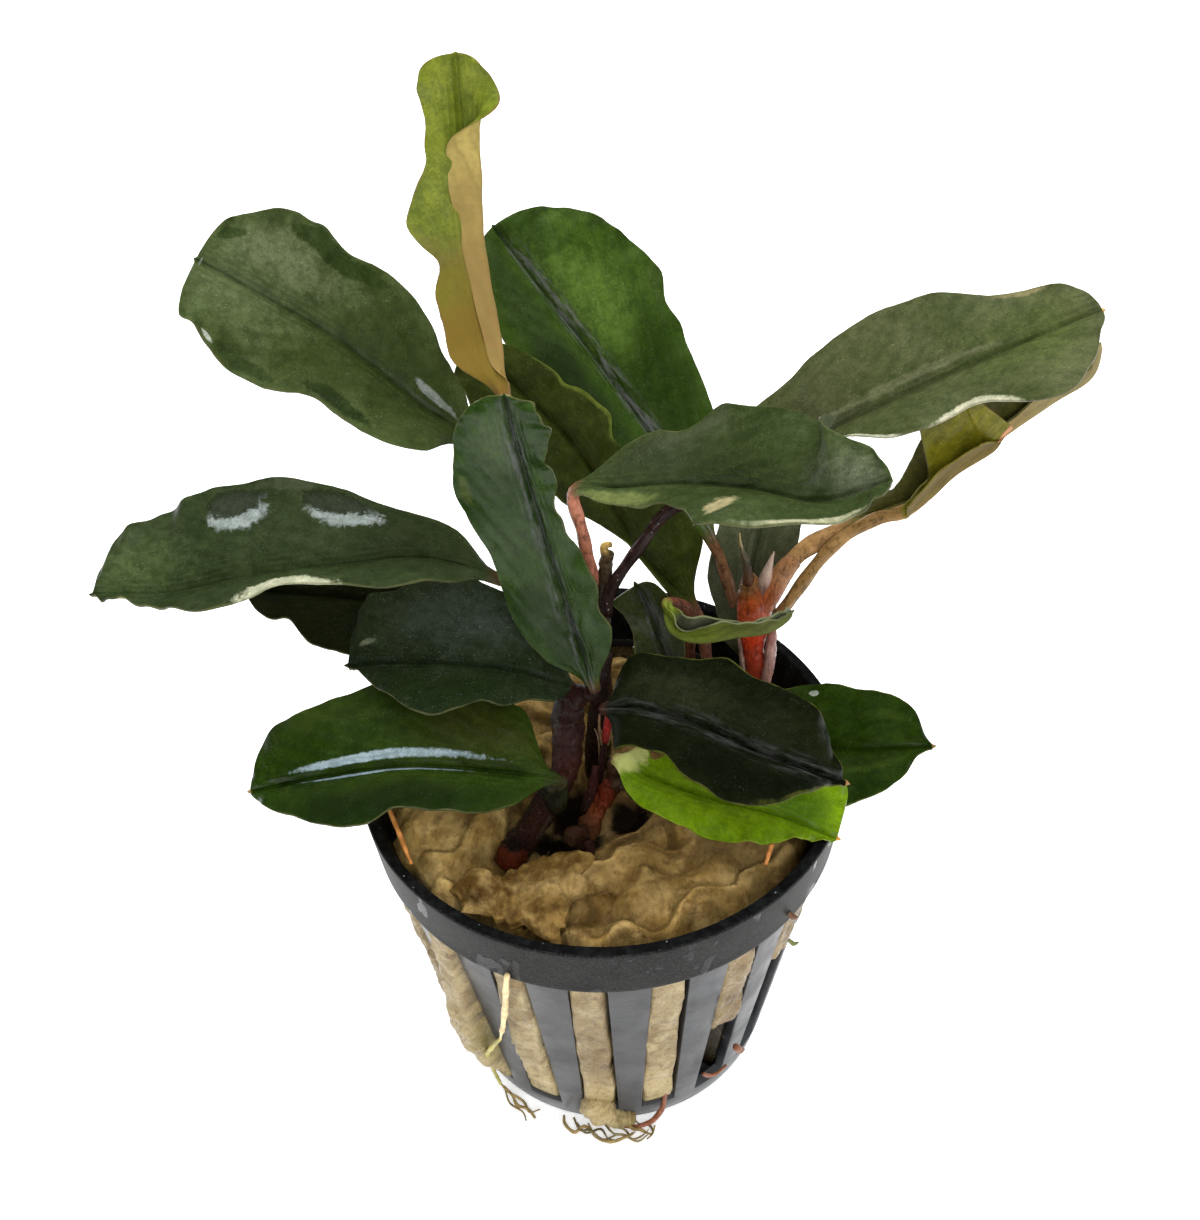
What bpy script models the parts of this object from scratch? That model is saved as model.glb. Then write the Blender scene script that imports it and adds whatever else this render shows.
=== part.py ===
"""A bucephalandra growing in a plug of rockwool in a slotted net pot.

Lengths in the tables are millimetres and angles are degrees. The origin is the centre of
the pot's underside, +Z is up, and the plant is seen from -Y with +X to the right.
"""

import math
from typing import NamedTuple

import bmesh
import bpy
import numpy as np

MM = 0.001
GAP = 0.3

# The pot: a 50 mm net pot, turned, with slots all round below its collar and in its floor.
POT_HEIGHT = 42.7
RIM_RADIUS = 25.0
RIM_INNER_RADIUS = 23.8
COLLAR_HEIGHT = 7.0
COLLAR_FOOT_RADIUS = 24.3
WALL_TOP_RADIUS = 23.5
FOOT_RADIUS = 17.9
FOOT_EDGE = 0.5
WALL = 1.1
FLOOR = 1.5
TURN_STEPS = 54
SLOTS = 18
SLOT_WIDTH = 3.8
SLOT_FOOT_Z = 3.5
SLOT_INNER_RADIUS = 13.0
FRONT_SLOT_ANGLE = -6.3
FLOOR_SLOTS = 6
FLOOR_SLOT_WIDTH = 2.4
FLOOR_SLOT_REACH = (5.5, 13.5)
POT_COLOUR = (0.02, 0.02, 0.022)

# The rockwool plug: it fills the pot to just under the rim and bulges out through the slots.
PLUG_FOOT_Z = FLOOR + GAP
PLUG_EDGE_Z = 39.0
PLUG_MIDDLE_Z = 39.5
PLUG_SIDE_ROWS = 6
PLUG_TOP_RINGS = 5
SLOT_BULGE = 0.7
LEFT_BULGE = 2.2
LEFT_BULGE_AT = -82.0
LEFT_BULGE_SPREAD = 26.0
PLUG_COLOUR = (0.30, 0.20, 0.09)
# Lumps and hollows of the plug's surface: x, y, height and spread.
LUMPS = (
    (-15.0, -6.0, 1.6, 5.0),
    (-9.0, -16.5, 1.8, 4.0),
    (6.0, -15.0, 1.5, 5.0),
    (14.0, -8.0, 1.3, 5.0),
    (-6.0, 12.0, 1.5, 6.0),
    (12.0, 14.0, -1.5, 6.0),
    (-3.0, -2.0, -7.0, 4.2),
    (-1.0, -8.5, -2.0, 2.6),
    (-10.0, -10.5, -3.6, 2.6),
)

# Leaves and stems.
STEM_SIDES = 10
PETIOLE_RADIUS = 0.6
LEAF_THICKNESS = 0.55
BLADE_RINGS = 10
PETIOLE_RINGS = 3
LEAF_COLUMNS = 7
TIP_LENGTH = 0.6
TIP_HALF_WIDTH = 0.25
MIDRIB_SHARE = 0.01
# The leaves turn their faces to the light, up and to the front.
LIGHT = np.array((0.0, -0.733, 0.680))

DARK_GREEN = (0.030, 0.060, 0.028)
GREEN = (0.055, 0.105, 0.035)
OLIVE = (0.095, 0.110, 0.025)
LIME = (0.190, 0.230, 0.030)
GREY_GREEN = (0.110, 0.140, 0.070)
GOLD = (0.330, 0.210, 0.070)


class Leaf(NamedTuple):
    """One leaf, measured along its midrib and out to its two margins.

    path runs from the foot of the petiole to the tip, and the blade starts at its point
    number petiole. left and right are half widths at even steps from the blade's foot to
    its tip, which crowd towards the round tip. roll turns the blade about its midrib, and
    fold raises each half from the blade's plane. curl rolls the right half inwards. lift
    is the share of the thickness above that plane: 0 keeps the faces of a folded leaf apart.
    """

    path: tuple
    petiole: int
    left: tuple
    right: tuple
    roll: float
    fold: tuple = (12, 12)
    curl: float = 0.0
    lift: float = 0.5
    colour: tuple = GREEN


LEAVES = {
    "leaf_tall": Leaf(
        path=(
            (-0.5, 8.7, 57.5), (-4, 9.5, 65.5), (-7.5, 11, 79), (-8.5, 14, 84.5),
            (-9.5, 16, 92.5), (-9.5, 17, 100.5), (-9.5, 18, 105), (-9.5, 18.5, 108),
        ),
        petiole=2,
        left=(4, 4.5, 4.5, 3, 3.5, 2.5),
        right=(2.5, 4.5, 5.5, 5, 4, 2.5),
        roll=0,
        curl=200,
        lift=0,
        colour=OLIVE,
    ),
    "leaf_upper_left": Leaf(
        path=(
            (-0.3, 7.6, 52.8), (-5, 7.5, 61), (-11, 10.5, 74), (-15.5, 11.5, 78.5),
            (-22, 13, 84.5), (-29, 14, 89.5), (-33.5, 14.5, 92.5),
        ),
        petiole=2,
        left=(5.5, 6, 8, 7.5, 6, 5),
        right=(5.5, 7.5, 7.5, 8, 6, 4),
        roll=-12,
        colour=GREY_GREEN,
    ),
    "leaf_upper_back": Leaf(
        path=(
            (14, 8, 54.5), (13, 10, 57.5), (12, 12, 59.5), (7, 20, 66),
            (1.5, 25.5, 72.5), (-4.5, 28.5, 80.5), (-8.5, 31, 85.5),
        ),
        petiole=2,
        left=(4, 7, 8, 7.5, 5.5, 3),
        right=(6.5, 9, 11, 10, 7.5, 4),
        roll=-25,
    ),
    "leaf_front_right": Leaf(
        path=(
            (0, 7, 58.5), (-1, 4.5, 68), (-1.5, 2.5, 74.5), (2.5, 0, 76.5),
            (7.5, -3, 79), (13, -8, 82), (17.5, -13, 84.5), (22.5, -15, 88),
        ),
        petiole=2,
        left=(5, 7, 7, 7, 4.5, 2.5),
        right=(3, 5, 8, 3.5, 2.5, 2),
        roll=32,
        fold=(25, 25),
        colour=GREY_GREEN,
    ),
    "leaf_centre": Leaf(
        path=((-0.5, -2, 53.5), (-3, 1.5, 62.5), (-5, 3, 72), (-6.5, 3, 80.5), (-7, 3.5, 84.5)),
        petiole=0,
        left=(5.5, 5.5, 7, 6, 5, 3),
        right=(4.5, 3, 2.5, 3, 4, 3),
        roll=28,
    ),
    "leaf_olive": Leaf(
        path=(
            (12, 6.5, 39.2), (11.5, 6.3, 45), (11, 6.5, 49.5), (10, 8, 54), (4.5, 11, 60),
            (-1, 15.5, 69), (-5.5, 17.5, 74), (-11, 19.5, 79.5),
        ),
        petiole=3,
        left=(0.5, 4.5, 6, 6, 4.5, 3.5),
        right=(6.5, 4, 4.5, 3.5, 2.5, 1),
        roll=-14,
        colour=OLIVE,
    ),
    "leaf_left": Leaf(
        path=(
            (-1, 6, 53), (-5, 5, 59), (-9, 4, 63), (-15.5, 3.5, 66.5),
            (-23.5, 2, 67.5), (-32, 1.5, 67), (-39.5, 2, 65), (-47.5, 3.5, 64),
        ),
        petiole=2,
        left=(5, 3, 5, 2.5, 1, 0.5),
        right=(5.5, 9.5, 10, 9, 7.5, 5),
        roll=-42,
        fold=(20, 20),
        colour=GREY_GREEN,
    ),
    "leaf_left_under": Leaf(
        path=(
            (-1.1, 5.3, 51.3), (-4, 4.5, 52.5), (-11.5, 6, 55.5), (-19.5, 7.5, 57),
            (-27.5, 8, 58.5), (-34.5, 8.5, 59),
        ),
        petiole=1,
        left=(4, 6.5, 7, 5.5, 3.5, 1.5),
        right=(4, 6, 6.5, 5.5, 4, 2),
        roll=-30,
        colour=DARK_GREEN,
    ),
    "leaf_middle_left": Leaf(
        path=((-2.3, -0.1, 51.6), (-7.5, -0.5, 55), (-13.5, -1, 57), (-19, -1, 57.5), (-24, -0.5, 57)),
        petiole=0,
        left=(3.5, 5.5, 6, 4, 1.5, 0.5),
        right=(6.5, 8.5, 8.5, 7.5, 7, 4.5),
        roll=-32,
        colour=DARK_GREEN,
    ),
    "leaf_lower_left": Leaf(
        path=(
            (-5.2, -7.1, 45.2), (-4.5, -7.5, 47), (-12, -7.5, 49), (-19.5, -8, 50.5),
            (-27, -8.5, 50), (-34, -8, 48),
        ),
        petiole=1,
        left=(5, 4.5, 6, 4, 2.5, 1),
        right=(8, 8.5, 7.5, 6.5, 5.5, 2),
        roll=-28,
    ),
    "leaf_lower_front": Leaf(
        path=(
            (0.1, -3.1, 52), (3.5, -5, 54), (9, -8, 54.5), (14.5, -11, 53.5),
            (19, -12, 52), (22.5, -12, 50),
        ),
        petiole=0,
        left=(5.5, 6, 6.5, 5.5, 2.5, 0.5),
        right=(4, 6, 5.5, 3, 1, 0.5),
        roll=22,
        colour=DARK_GREEN,
    ),
    "leaf_lime": Leaf(
        path=((1, -5, 47), (5, -7.5, 46.5), (10.5, -10, 46), (16.5, -11.5, 45), (22, -13, 43)),
        petiole=0,
        left=(2.5, 3, 4.5, 5, 5, 4.5),
        right=(3.5, 4, 3.5, 2, 1, 0.5),
        roll=20,
        colour=LIME,
    ),
    "leaf_lower_right": Leaf(
        path=(
            (9.6, 2, 39.6), (10.2, 1, 43.2), (11.5, -0.5, 46.5), (18.5, -3, 45.5),
            (24.5, -4.5, 46), (28, -5, 46.5), (32.5, -4.5, 46),
        ),
        petiole=2,
        left=(5.5, 6.5, 6, 5.5, 4, 1),
        right=(4.5, 7, 5.5, 3.5, 1, 0.5),
        roll=22,
        colour=DARK_GREEN,
    ),
    "leaf_small": Leaf(
        path=(
            (5.5, 3, 39.4), (6.3, 3.8, 44.5), (7, 4.5, 49.5), (6, 6, 53), (5, 7, 56), (4, 8, 58),
        ),
        petiole=2,
        left=(3, 2, 3, 3, 3, 2.5),
        right=(1.5, 2, 2, 1.5, 1.5, 1),
        roll=0,
        colour=OLIVE,
    ),
    "leaf_boat": Leaf(
        path=(
            (9.5, 7.5, 39), (9.5, 8.4, 48), (9.3, 8, 54), (7, 6, 57.2), (7.5, 3.5, 56),
            (10, 2.5, 55.5), (13.5, 2.5, 56), (16.5, 2.5, 56.5), (19, 4, 57),
        ),
        petiole=3,
        left=(3.5, 3.5, 2, 1.5, 1.5, 1),
        right=(2, 3.5, 3, 1.5, 1, 0.5),
        roll=0,
        fold=(60, 112),
        lift=0,
        colour=OLIVE,
    ),
    "leaf_back": Leaf(
        path=((15.4, 8, 46.6), (15.5, 11, 52.5), (16.5, 13, 57.5), (18, 16, 63.5)),
        petiole=0,
        left=(3, 4.5, 4.5, 4, 3, 1.5),
        right=(3, 3, 4, 4, 3.5, 2),
        roll=0,
        colour=DARK_GREEN,
    ),
    "leaf_big_right": Leaf(
        path=(
            (1, 5.5, 56.5), (1.5, 6, 59.5), (4.5, 7, 64), (7, 7.5, 67.5), (10, 7, 69.5),
            (15.5, 7.5, 72.5), (23.5, 7.5, 77), (32, 7.5, 81.5), (40, 8, 85), (45, 8.5, 87),
        ),
        petiole=4,
        left=(6, 8, 7.5, 5, 4, 2.5),
        right=(1, 4.5, 4.5, 8, 5.5, 2),
        roll=28,
        fold=(18, 18),
        colour=GREY_GREEN,
    ),
    "leaf_gold": Leaf(
        path=(
            (18.3, 6.6, 54.3), (23, 8, 61.5), (27, 8, 65), (29.5, 6.5, 67),
            (31.5, 6.5, 69), (34, 7, 71.5), (36.5, 7, 73.5), (37.5, 7, 74.5),
        ),
        petiole=3,
        left=(2.5, 4.5, 5.5, 5.5, 6.5, 5.5),
        right=(3.5, 5, 3.5, 3.5, 4, 4),
        roll=0,
        fold=(35, 125),
        lift=0,
        colour=GOLD,
    ),
    "leaf_under_right": Leaf(
        path=(
            (17.5, 7.5, 57), (20.5, 9, 60.5), (25, 9.5, 63), (28.5, 9, 64.5), (31, 9, 65.5),
            (35, 10.5, 69), (39, 11, 72.5), (43.5, 12, 75.5), (46.5, 12.5, 77.5), (47.5, 13.5, 80),
        ),
        petiole=2,
        left=(3.5, 5.5, 6, 5.5, 4.5, 2.5),
        right=(1.5, 2.5, 2.5, 2.5, 2, 1.5),
        roll=0,
        fold=(30, 115),
        lift=0,
        colour=GOLD,
    ),
}


class Stem(NamedTuple):
    """A round stem or root: points up its middle, and its radius at each."""

    path: tuple
    radii: tuple
    colour: tuple
    sides: int = STEM_SIDES


STEMS = {
    "stem_front_foot": Stem(
        path=((-9.8, -10.3, 39), (-8.5, -9.5, 39.8), (-7, -8, 41.5), (-4.5, -6, 43.7)),
        radii=(1.35, 1.5, 1.6, 1.4),
        colour=(0.10, 0.022, 0.015),
    ),
    "stem_front": Stem(
        path=(
            (-3.7, -4.8, 44.6), (-3.5, -3.2, 46.2), (-3.6, -2, 47.5), (-3.5, -1, 49),
            (-2.1, -1.2, 50), (-0.9, -1.7, 51.4), (-0.55, -1.95, 52.9),
        ),
        radii=(1.4, 1.6, 1.6, 1.4, 1.2, 1.0, 0.8),
        colour=(0.045, 0.016, 0.016),
    ),
    "stem_crown": Stem(
        path=((-1.7, -7.9, 36.3), (-1, -6, 39.5), (0, -5, 42.5), (1.2, -4.7, 44.2), (1, -4.9, 46)),
        radii=(1.05, 1.4, 1.3, 0.95, 0.75),
        colour=(0.12, 0.025, 0.015),
    ),
    "stem_red": Stem(
        path=((-0.8, -3.2, 34.6), (-0.4, -2.8, 38), (0, -2.4, 41), (0, -1.5, 43.5), (0.5, 0.5, 46)),
        radii=(0.35, 0.35, 0.5, 0.55, 0.6),
        colour=(0.22, 0.02, 0.02),
    ),
    "stem_back": Stem(
        path=((-0.7, 1.6, 37), (-0.5, 2, 40.5), (0, 4, 46), (0.5, 6, 52.5), (1, 7.5, 57), (1, 9.5, 60)),
        radii=(1.3, 1.4, 1.3, 1.0, 0.8, 0.65),
        colour=(0.05, 0.015, 0.012),
    ),
    "stem_side": Stem(
        path=((16.8, 6.5, 39.1), (16.5, 6.5, 43.5), (16, 6, 50), (16, 7, 53.5), (16.5, 7.5, 56.5)),
        radii=(1.3, 1.2, 1.25, 1.5, 1.3),
        colour=(0.30, 0.07, 0.05),
    ),
    "root_left": Stem(
        path=((-22.5, -3.5, 42.8), (-21.4, -5.6, 42.2), (-20.4, -8, 41.6), (-19.4, -9.6, 40.6)),
        radii=(0.25, 0.25, 0.25, 0.2),
        colour=(0.55, 0.22, 0.06),
        sides=6,
    ),
    "root_right": Stem(
        path=((16.6, -9.2, 42.2), (16, -11.2, 41.8), (15, -13.2, 41.2)),
        radii=(0.25, 0.25, 0.2),
        colour=(0.55, 0.22, 0.06),
        sides=6,
    ),
}


def clear_scene():
    for obj in list(bpy.data.objects):
        bpy.data.objects.remove(obj, do_unlink=True)


def make_material(name, colour, roughness):
    material = bpy.data.materials.new(name)
    material.use_nodes = True
    shader = material.node_tree.nodes["Principled BSDF"]
    shader.inputs["Base Color"].default_value = (*colour, 1.0)
    shader.inputs["Roughness"].default_value = roughness
    return material


def finish_mesh(bm, name, colour, roughness):
    """The bmesh, built in millimetres, as an object of its own with a material of its own."""
    bmesh.ops.scale(bm, vec=(MM, MM, MM), verts=bm.verts)
    bmesh.ops.recalc_face_normals(bm, faces=bm.faces)
    mesh = bpy.data.meshes.new(name)
    bm.to_mesh(mesh)
    bm.free()
    mesh.shade_smooth()
    mesh.set_sharp_from_angle(angle=math.radians(40))
    mesh.materials.append(make_material(name, colour, roughness))
    obj = bpy.data.objects.new(name, mesh)
    bpy.context.scene.collection.objects.link(obj)
    return obj


def loft(rings, first, last):
    """Closed bmesh over rings of equal length, with a fan to a point at each end."""
    bm = bmesh.new()
    rows = [[bm.verts.new(point) for point in ring] for ring in rings]
    size = len(rows[0])
    for row, following in zip(rows, rows[1:]):
        for j in range(size):
            k = (j + 1) % size
            bm.faces.new((row[j], row[k], following[k], following[j]))
    for row, point in ((rows[0], first), (rows[-1], last)):
        end = bm.verts.new(point)
        for j in range(size):
            bm.faces.new((row[j], row[(j + 1) % size], end))
    return bm


def spline(values, t):
    """Catmull-Rom curve through the values, at parameters t counted in values."""
    values = np.asarray(values, float)
    before = 2 * values[0] - values[1]
    after = 2 * values[-1] - values[-2]
    padded = np.concatenate(([before], values, [after]))
    t = np.clip(t, 0, len(values) - 1 - 1e-9)
    i = np.floor(t).astype(int)
    f = (t - i).reshape(-1, *[1] * (values.ndim - 1))
    a, b, c, d = padded[i], padded[i + 1], padded[i + 2], padded[i + 3]
    bend = 2 * a - 5 * b + 4 * c - d
    twist = 3 * b - a - 3 * c + d
    return 0.5 * (2 * b + (c - a) * f + bend * f**2 + twist * f**3)


def smooth_step(x):
    x = min(max(x, 0.0), 1.0)
    return x * x * (3 - 2 * x)


def unit(vectors):
    return vectors / np.linalg.norm(vectors, axis=-1, keepdims=True)


def stem_mesh(stem):
    steps = len(stem.path) + 4
    middle = spline(stem.path, np.linspace(0, len(stem.path) - 1, steps))
    radii = spline(stem.radii, np.linspace(0, len(stem.radii) - 1, steps))
    ahead = unit(np.gradient(middle, axis=0))
    side = unit(np.cross(ahead, LIGHT))
    up = np.cross(side, ahead)
    turn = np.arange(stem.sides)[:, None] * 2 * math.pi / stem.sides
    rings = []
    for i in range(steps):
        rings.append(middle[i] + radii[i] * (np.cos(turn) * side[i] + np.sin(turn) * up[i]))
    return loft(rings, middle[0], middle[-1])


def leaf_midrib(leaf):
    """Points and directions down the leaf, and how far along the blade each is, from 0 to 1.

    The petiole's points have -1 in place of that.
    """
    t = np.linspace(0, len(leaf.path) - 1, 600)
    curve = spline(leaf.path, t)
    steps = np.linalg.norm(np.diff(curve, axis=0), axis=1)
    run = np.concatenate(([0.0], np.cumsum(steps)))
    foot = np.interp(leaf.petiole, t, run)
    share = np.arange(BLADE_RINGS + 1) / BLADE_RINGS
    at = foot + (run[-1] - foot) * share * (2 - share)
    if leaf.petiole:
        at = np.concatenate((np.linspace(0, foot, PETIOLE_RINGS + 1)[:-1], at))
        share = np.concatenate((np.full(PETIOLE_RINGS, -1.0), share))

    def place(length):
        return np.stack([np.interp(length, run, curve[:, axis]) for axis in range(3)], axis=1)

    near = 0.25
    return place(at), unit(place(at + near) - place(at - near)), share


def blade_offset(half_width, reach, fold, curl):
    """Sideways and upward offset from the midrib and slope there, at a share of the way out."""
    steps = (np.arange(12) + 0.5) / 12 * reach
    slope = np.radians(fold + curl * steps**2)
    out = half_width * reach
    end_slope = math.radians(fold + curl * reach**2)
    return out * np.cos(slope).mean(), out * np.sin(slope).mean(), end_slope


def leaf_section(leaf, share):
    """Outline across the leaf as (sideways, up), round on the petiole and flat on the blade."""
    spread = smooth_step(share / 0.14)
    open_share = smooth_step((0.85 - share) / 0.25) * smooth_step(share / 0.35)
    tilt = math.radians(leaf.fold[0] - leaf.fold[1]) / 2
    top, under = [], []
    for v in np.linspace(-1, 1, LEAF_COLUMNS):
        left = v >= 0
        sign = 1 if left else -1
        widths = (PETIOLE_RADIUS, *(leaf.left if left else leaf.right), TIP_HALF_WIDTH)
        at = max(share, 0.0) * (len(widths) - 1)
        half_width = max(float(spline(widths, np.array([at]))[0]), TIP_HALF_WIDTH)
        curl = 0.0 if left else leaf.curl * open_share
        x, y, slope = blade_offset(half_width, abs(v), leaf.fold[0 if left else 1], curl)
        if abs(v) < MIDRIB_SHARE:
            slope = tilt
        thick = min(LEAF_THICKNESS, half_width) * (1 - abs(v) ** 3) * (1 - 0.45 * abs(v))
        for points, way, lift in ((top, 1, leaf.lift), (under, -1, leaf.lift - 1)):
            rise = lift * thick
            blade = (sign * (x - math.sin(slope) * rise), y + math.cos(slope) * rise)
            turn = tilt + way * math.pi / 2 * (1 - v)
            stalk = (PETIOLE_RADIUS * math.cos(turn), PETIOLE_RADIUS * math.sin(turn))
            points.append([s + spread * (b - s) for s, b in zip(stalk, blade)])
    return top + under[-2:0:-1]


def leaf_mesh(leaf):
    middle, ahead, shares = leaf_midrib(leaf)
    face = unit(LIGHT - (ahead @ LIGHT)[:, None] * ahead)
    side = np.cross(face, ahead)
    roll = math.radians(leaf.roll)
    up = math.cos(roll) * face + math.sin(roll) * side
    out = math.cos(roll) * side - math.sin(roll) * face
    rings = []
    for i, share in enumerate(shares):
        rings.append([middle[i] + x * out[i] + y * up[i] for x, y in leaf_section(leaf, share)])
    return loft(rings, middle[0], middle[-1] + ahead[-1] * TIP_LENGTH)


def pot_profile():
    """Half section of the pot, from the axis underneath to the axis inside."""
    collar_z = POT_HEIGHT - COLLAR_HEIGHT
    return (
        (0, 0),
        (FOOT_RADIUS - FOOT_EDGE, 0),
        (FOOT_RADIUS, FOOT_EDGE),
        (WALL_TOP_RADIUS, collar_z),
        (COLLAR_FOOT_RADIUS, collar_z),
        (RIM_RADIUS, POT_HEIGHT),
        (RIM_INNER_RADIUS, POT_HEIGHT),
        (WALL_TOP_RADIUS - WALL, collar_z),
        (FOOT_RADIUS - WALL, FLOOR),
        (0, FLOOR),
    )


def toward(angle):
    """Unit vector at an angle from the front, -Y, towards +X."""
    return np.array((math.sin(angle), -math.cos(angle)))


def slot_angle(k):
    return math.radians(FRONT_SLOT_ANGLE + k * 360 / SLOTS)


def add_box(bm, angle, reach, width, low, high):
    """A box from one radius to another along a direction, and from one height to another."""
    out = toward(angle)
    across = np.array((-out[1], out[0])) * width / 2
    rings = []
    for z in (low, high):
        corners = ((0, -1), (1, -1), (1, 1), (0, 1))
        rings.append([bm.verts.new((*(out * reach[i] + across * sign), z)) for i, sign in corners])
    lower, upper = rings
    bm.faces.new(lower[::-1])
    bm.faces.new(upper)
    for j in range(4):
        k = (j + 1) % 4
        bm.faces.new((lower[j], lower[k], upper[k], upper[j]))


def make_slot_cutters():
    """A box for each slot of the wall and the floor, all in one helper mesh."""
    bm = bmesh.new()
    for k in range(SLOTS):
        reach = (SLOT_INNER_RADIUS, RIM_RADIUS + 3)
        add_box(bm, slot_angle(k), reach, SLOT_WIDTH, SLOT_FOOT_Z, POT_HEIGHT - COLLAR_HEIGHT)
    for k in range(FLOOR_SLOTS):
        angle = slot_angle(k * SLOTS // FLOOR_SLOTS)
        add_box(bm, angle, FLOOR_SLOT_REACH, FLOOR_SLOT_WIDTH, -FLOOR, FLOOR * 1.5)
    cutters = finish_mesh(bm, "slot_cutters", (1.0, 0.0, 0.0), 0.5)
    cutters.hide_render = True
    cutters.display_type = "WIRE"
    return cutters


def make_pot():
    bm = bmesh.new()
    corners = [bm.verts.new((radius, 0, z)) for radius, z in pot_profile()]
    edges = [bm.edges.new(pair) for pair in zip(corners, corners[1:])]
    bmesh.ops.spin(
        bm,
        geom=corners + edges,
        cent=(0, 0, 0),
        axis=(0, 0, 1),
        angle=2 * math.pi,
        steps=TURN_STEPS,
        use_merge=True,
    )
    bmesh.ops.remove_doubles(bm, verts=bm.verts, dist=GAP / 10)
    pot = finish_mesh(bm, "pot", POT_COLOUR, 0.35)
    slots = pot.modifiers.new("slots", "BOOLEAN")
    slots.operation = "DIFFERENCE"
    slots.object = make_slot_cutters()


def plug_top(x, y):
    """Height of the plug's surface."""
    edge = math.hypot(x, y) / RIM_RADIUS
    z = PLUG_MIDDLE_Z + (PLUG_EDGE_Z - PLUG_MIDDLE_Z) * edge
    for at_x, at_y, height, spread in LUMPS:
        z += height * math.exp(-((x - at_x) ** 2 + (y - at_y) ** 2) / (2 * spread**2))
    return z


def wall_radius(z):
    """Outer radius of the pot's wall."""
    share = (z - FOOT_EDGE) / (POT_HEIGHT - COLLAR_HEIGHT - FOOT_EDGE)
    return FOOT_RADIUS + (WALL_TOP_RADIUS - FOOT_RADIUS) * share


def slot_bulge(angle):
    """How far the plug stands out of the slot at this angle."""
    off = (math.degrees(angle) - LEFT_BULGE_AT + 180) % 360 - 180
    return SLOT_BULGE + LEFT_BULGE * math.exp(-((off / LEFT_BULGE_SPREAD) ** 2))


def plug_ring(z, share_out):
    """Outline of the plug at one height. share_out is 1 where the slots let it out in full."""
    ring = []
    inside = wall_radius(z) - WALL - GAP
    for k in range(SLOTS):
        angle = slot_angle(k)
        reach = inside + share_out * (WALL + GAP + slot_bulge(angle))
        wide = math.asin((SLOT_WIDTH / 2 - GAP) / inside)
        narrow = math.asin((SLOT_WIDTH / 2 - GAP) / reach)
        for turn, radius in ((-wide, inside), (-narrow, reach), (narrow, reach), (wide, inside)):
            ring.append((*(toward(angle + turn) * radius), z))
    return ring


def make_plug():
    low = SLOT_FOOT_Z + GAP
    high = POT_HEIGHT - COLLAR_HEIGHT - GAP
    rows = [plug_ring(PLUG_FOOT_Z, 0), plug_ring(low, 0)]
    for share in np.linspace(0.02, 0.98, PLUG_SIDE_ROWS):
        rows.append(plug_ring(low + (high - low) * share, math.sin(math.pi * share) ** 0.3))
    rows.append(plug_ring(high, 0))
    brim = rows[-1]
    for share in np.linspace(1, 0.12, PLUG_TOP_RINGS):
        rows.append([(x * share, y * share, plug_top(x * share, y * share)) for x, y, z in brim])
    bm = loft(rows, (0, 0, PLUG_FOOT_Z), (0, 0, plug_top(0, 0)))
    finish_mesh(bm, "rockwool", PLUG_COLOUR, 0.85)


def main():
    clear_scene()
    make_pot()
    make_plug()
    for name, stem in STEMS.items():
        finish_mesh(stem_mesh(stem), name, stem.colour, 0.4)
    for name, leaf in LEAVES.items():
        finish_mesh(leaf_mesh(leaf), name, leaf.colour, 0.35)


main()
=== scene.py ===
"""Looks of a bucephalandra in a slotted net pot: detailed leaves, stems, rockwool and pot.

Tables are in millimetres and degrees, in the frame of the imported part: the origin is the
centre of the pot's underside, +Z is up, and the plant is seen from -Y with +X to the right.
"""

import math
import random
from typing import NamedTuple

import bmesh
import bpy
import numpy as np
from mathutils import Matrix, Vector


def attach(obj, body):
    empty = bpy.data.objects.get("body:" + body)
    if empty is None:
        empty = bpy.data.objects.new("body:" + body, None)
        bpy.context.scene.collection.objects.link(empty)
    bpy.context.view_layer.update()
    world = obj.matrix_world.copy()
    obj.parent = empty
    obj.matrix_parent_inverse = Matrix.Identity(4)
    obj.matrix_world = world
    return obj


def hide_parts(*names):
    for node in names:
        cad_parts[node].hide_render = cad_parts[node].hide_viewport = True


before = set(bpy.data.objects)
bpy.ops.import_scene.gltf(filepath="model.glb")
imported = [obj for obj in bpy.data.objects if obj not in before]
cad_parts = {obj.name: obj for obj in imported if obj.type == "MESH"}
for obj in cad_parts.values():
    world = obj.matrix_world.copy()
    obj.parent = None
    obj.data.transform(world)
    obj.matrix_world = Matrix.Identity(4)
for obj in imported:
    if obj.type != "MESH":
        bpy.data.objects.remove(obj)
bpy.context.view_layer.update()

MM = 0.001
scene = bpy.context.scene


# ---------------------------------------------------------------- curves and noise


def spline(values, t):
    """Catmull-Rom curve through the values, at parameters t counted in values."""
    values = np.asarray(values, float)
    before = 2 * values[0] - values[1]
    after = 2 * values[-1] - values[-2]
    padded = np.concatenate(([before], values, [after]))
    t = np.clip(t, 0, len(values) - 1 - 1e-9)
    i = np.floor(t).astype(int)
    f = (t - i).reshape(-1, *[1] * (values.ndim - 1))
    a, b, c, d = padded[i], padded[i + 1], padded[i + 2], padded[i + 3]
    bend = 2 * a - 5 * b + 4 * c - d
    twist = 3 * b - a - 3 * c + d
    return 0.5 * (2 * b + (c - a) * f + bend * f**2 + twist * f**3)


def smooth_step(x):
    x = np.clip(x, 0.0, 1.0)
    return x * x * (3 - 2 * x)


def unit(vectors):
    return vectors / np.linalg.norm(vectors, axis=-1, keepdims=True)


def lattice(ix, iy, iz, seed):
    """A repeatable random number from -1 to 1 for each lattice point."""
    h = ix * 374761393 + iy * 668265263 + iz * 2147483647 + seed * 974634777
    h = (h ^ (h >> 13)) * 1274126177
    h = (h ^ (h >> 16)) & 0xFFFFFF
    return h / 0x7FFFFF - 1.0


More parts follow.
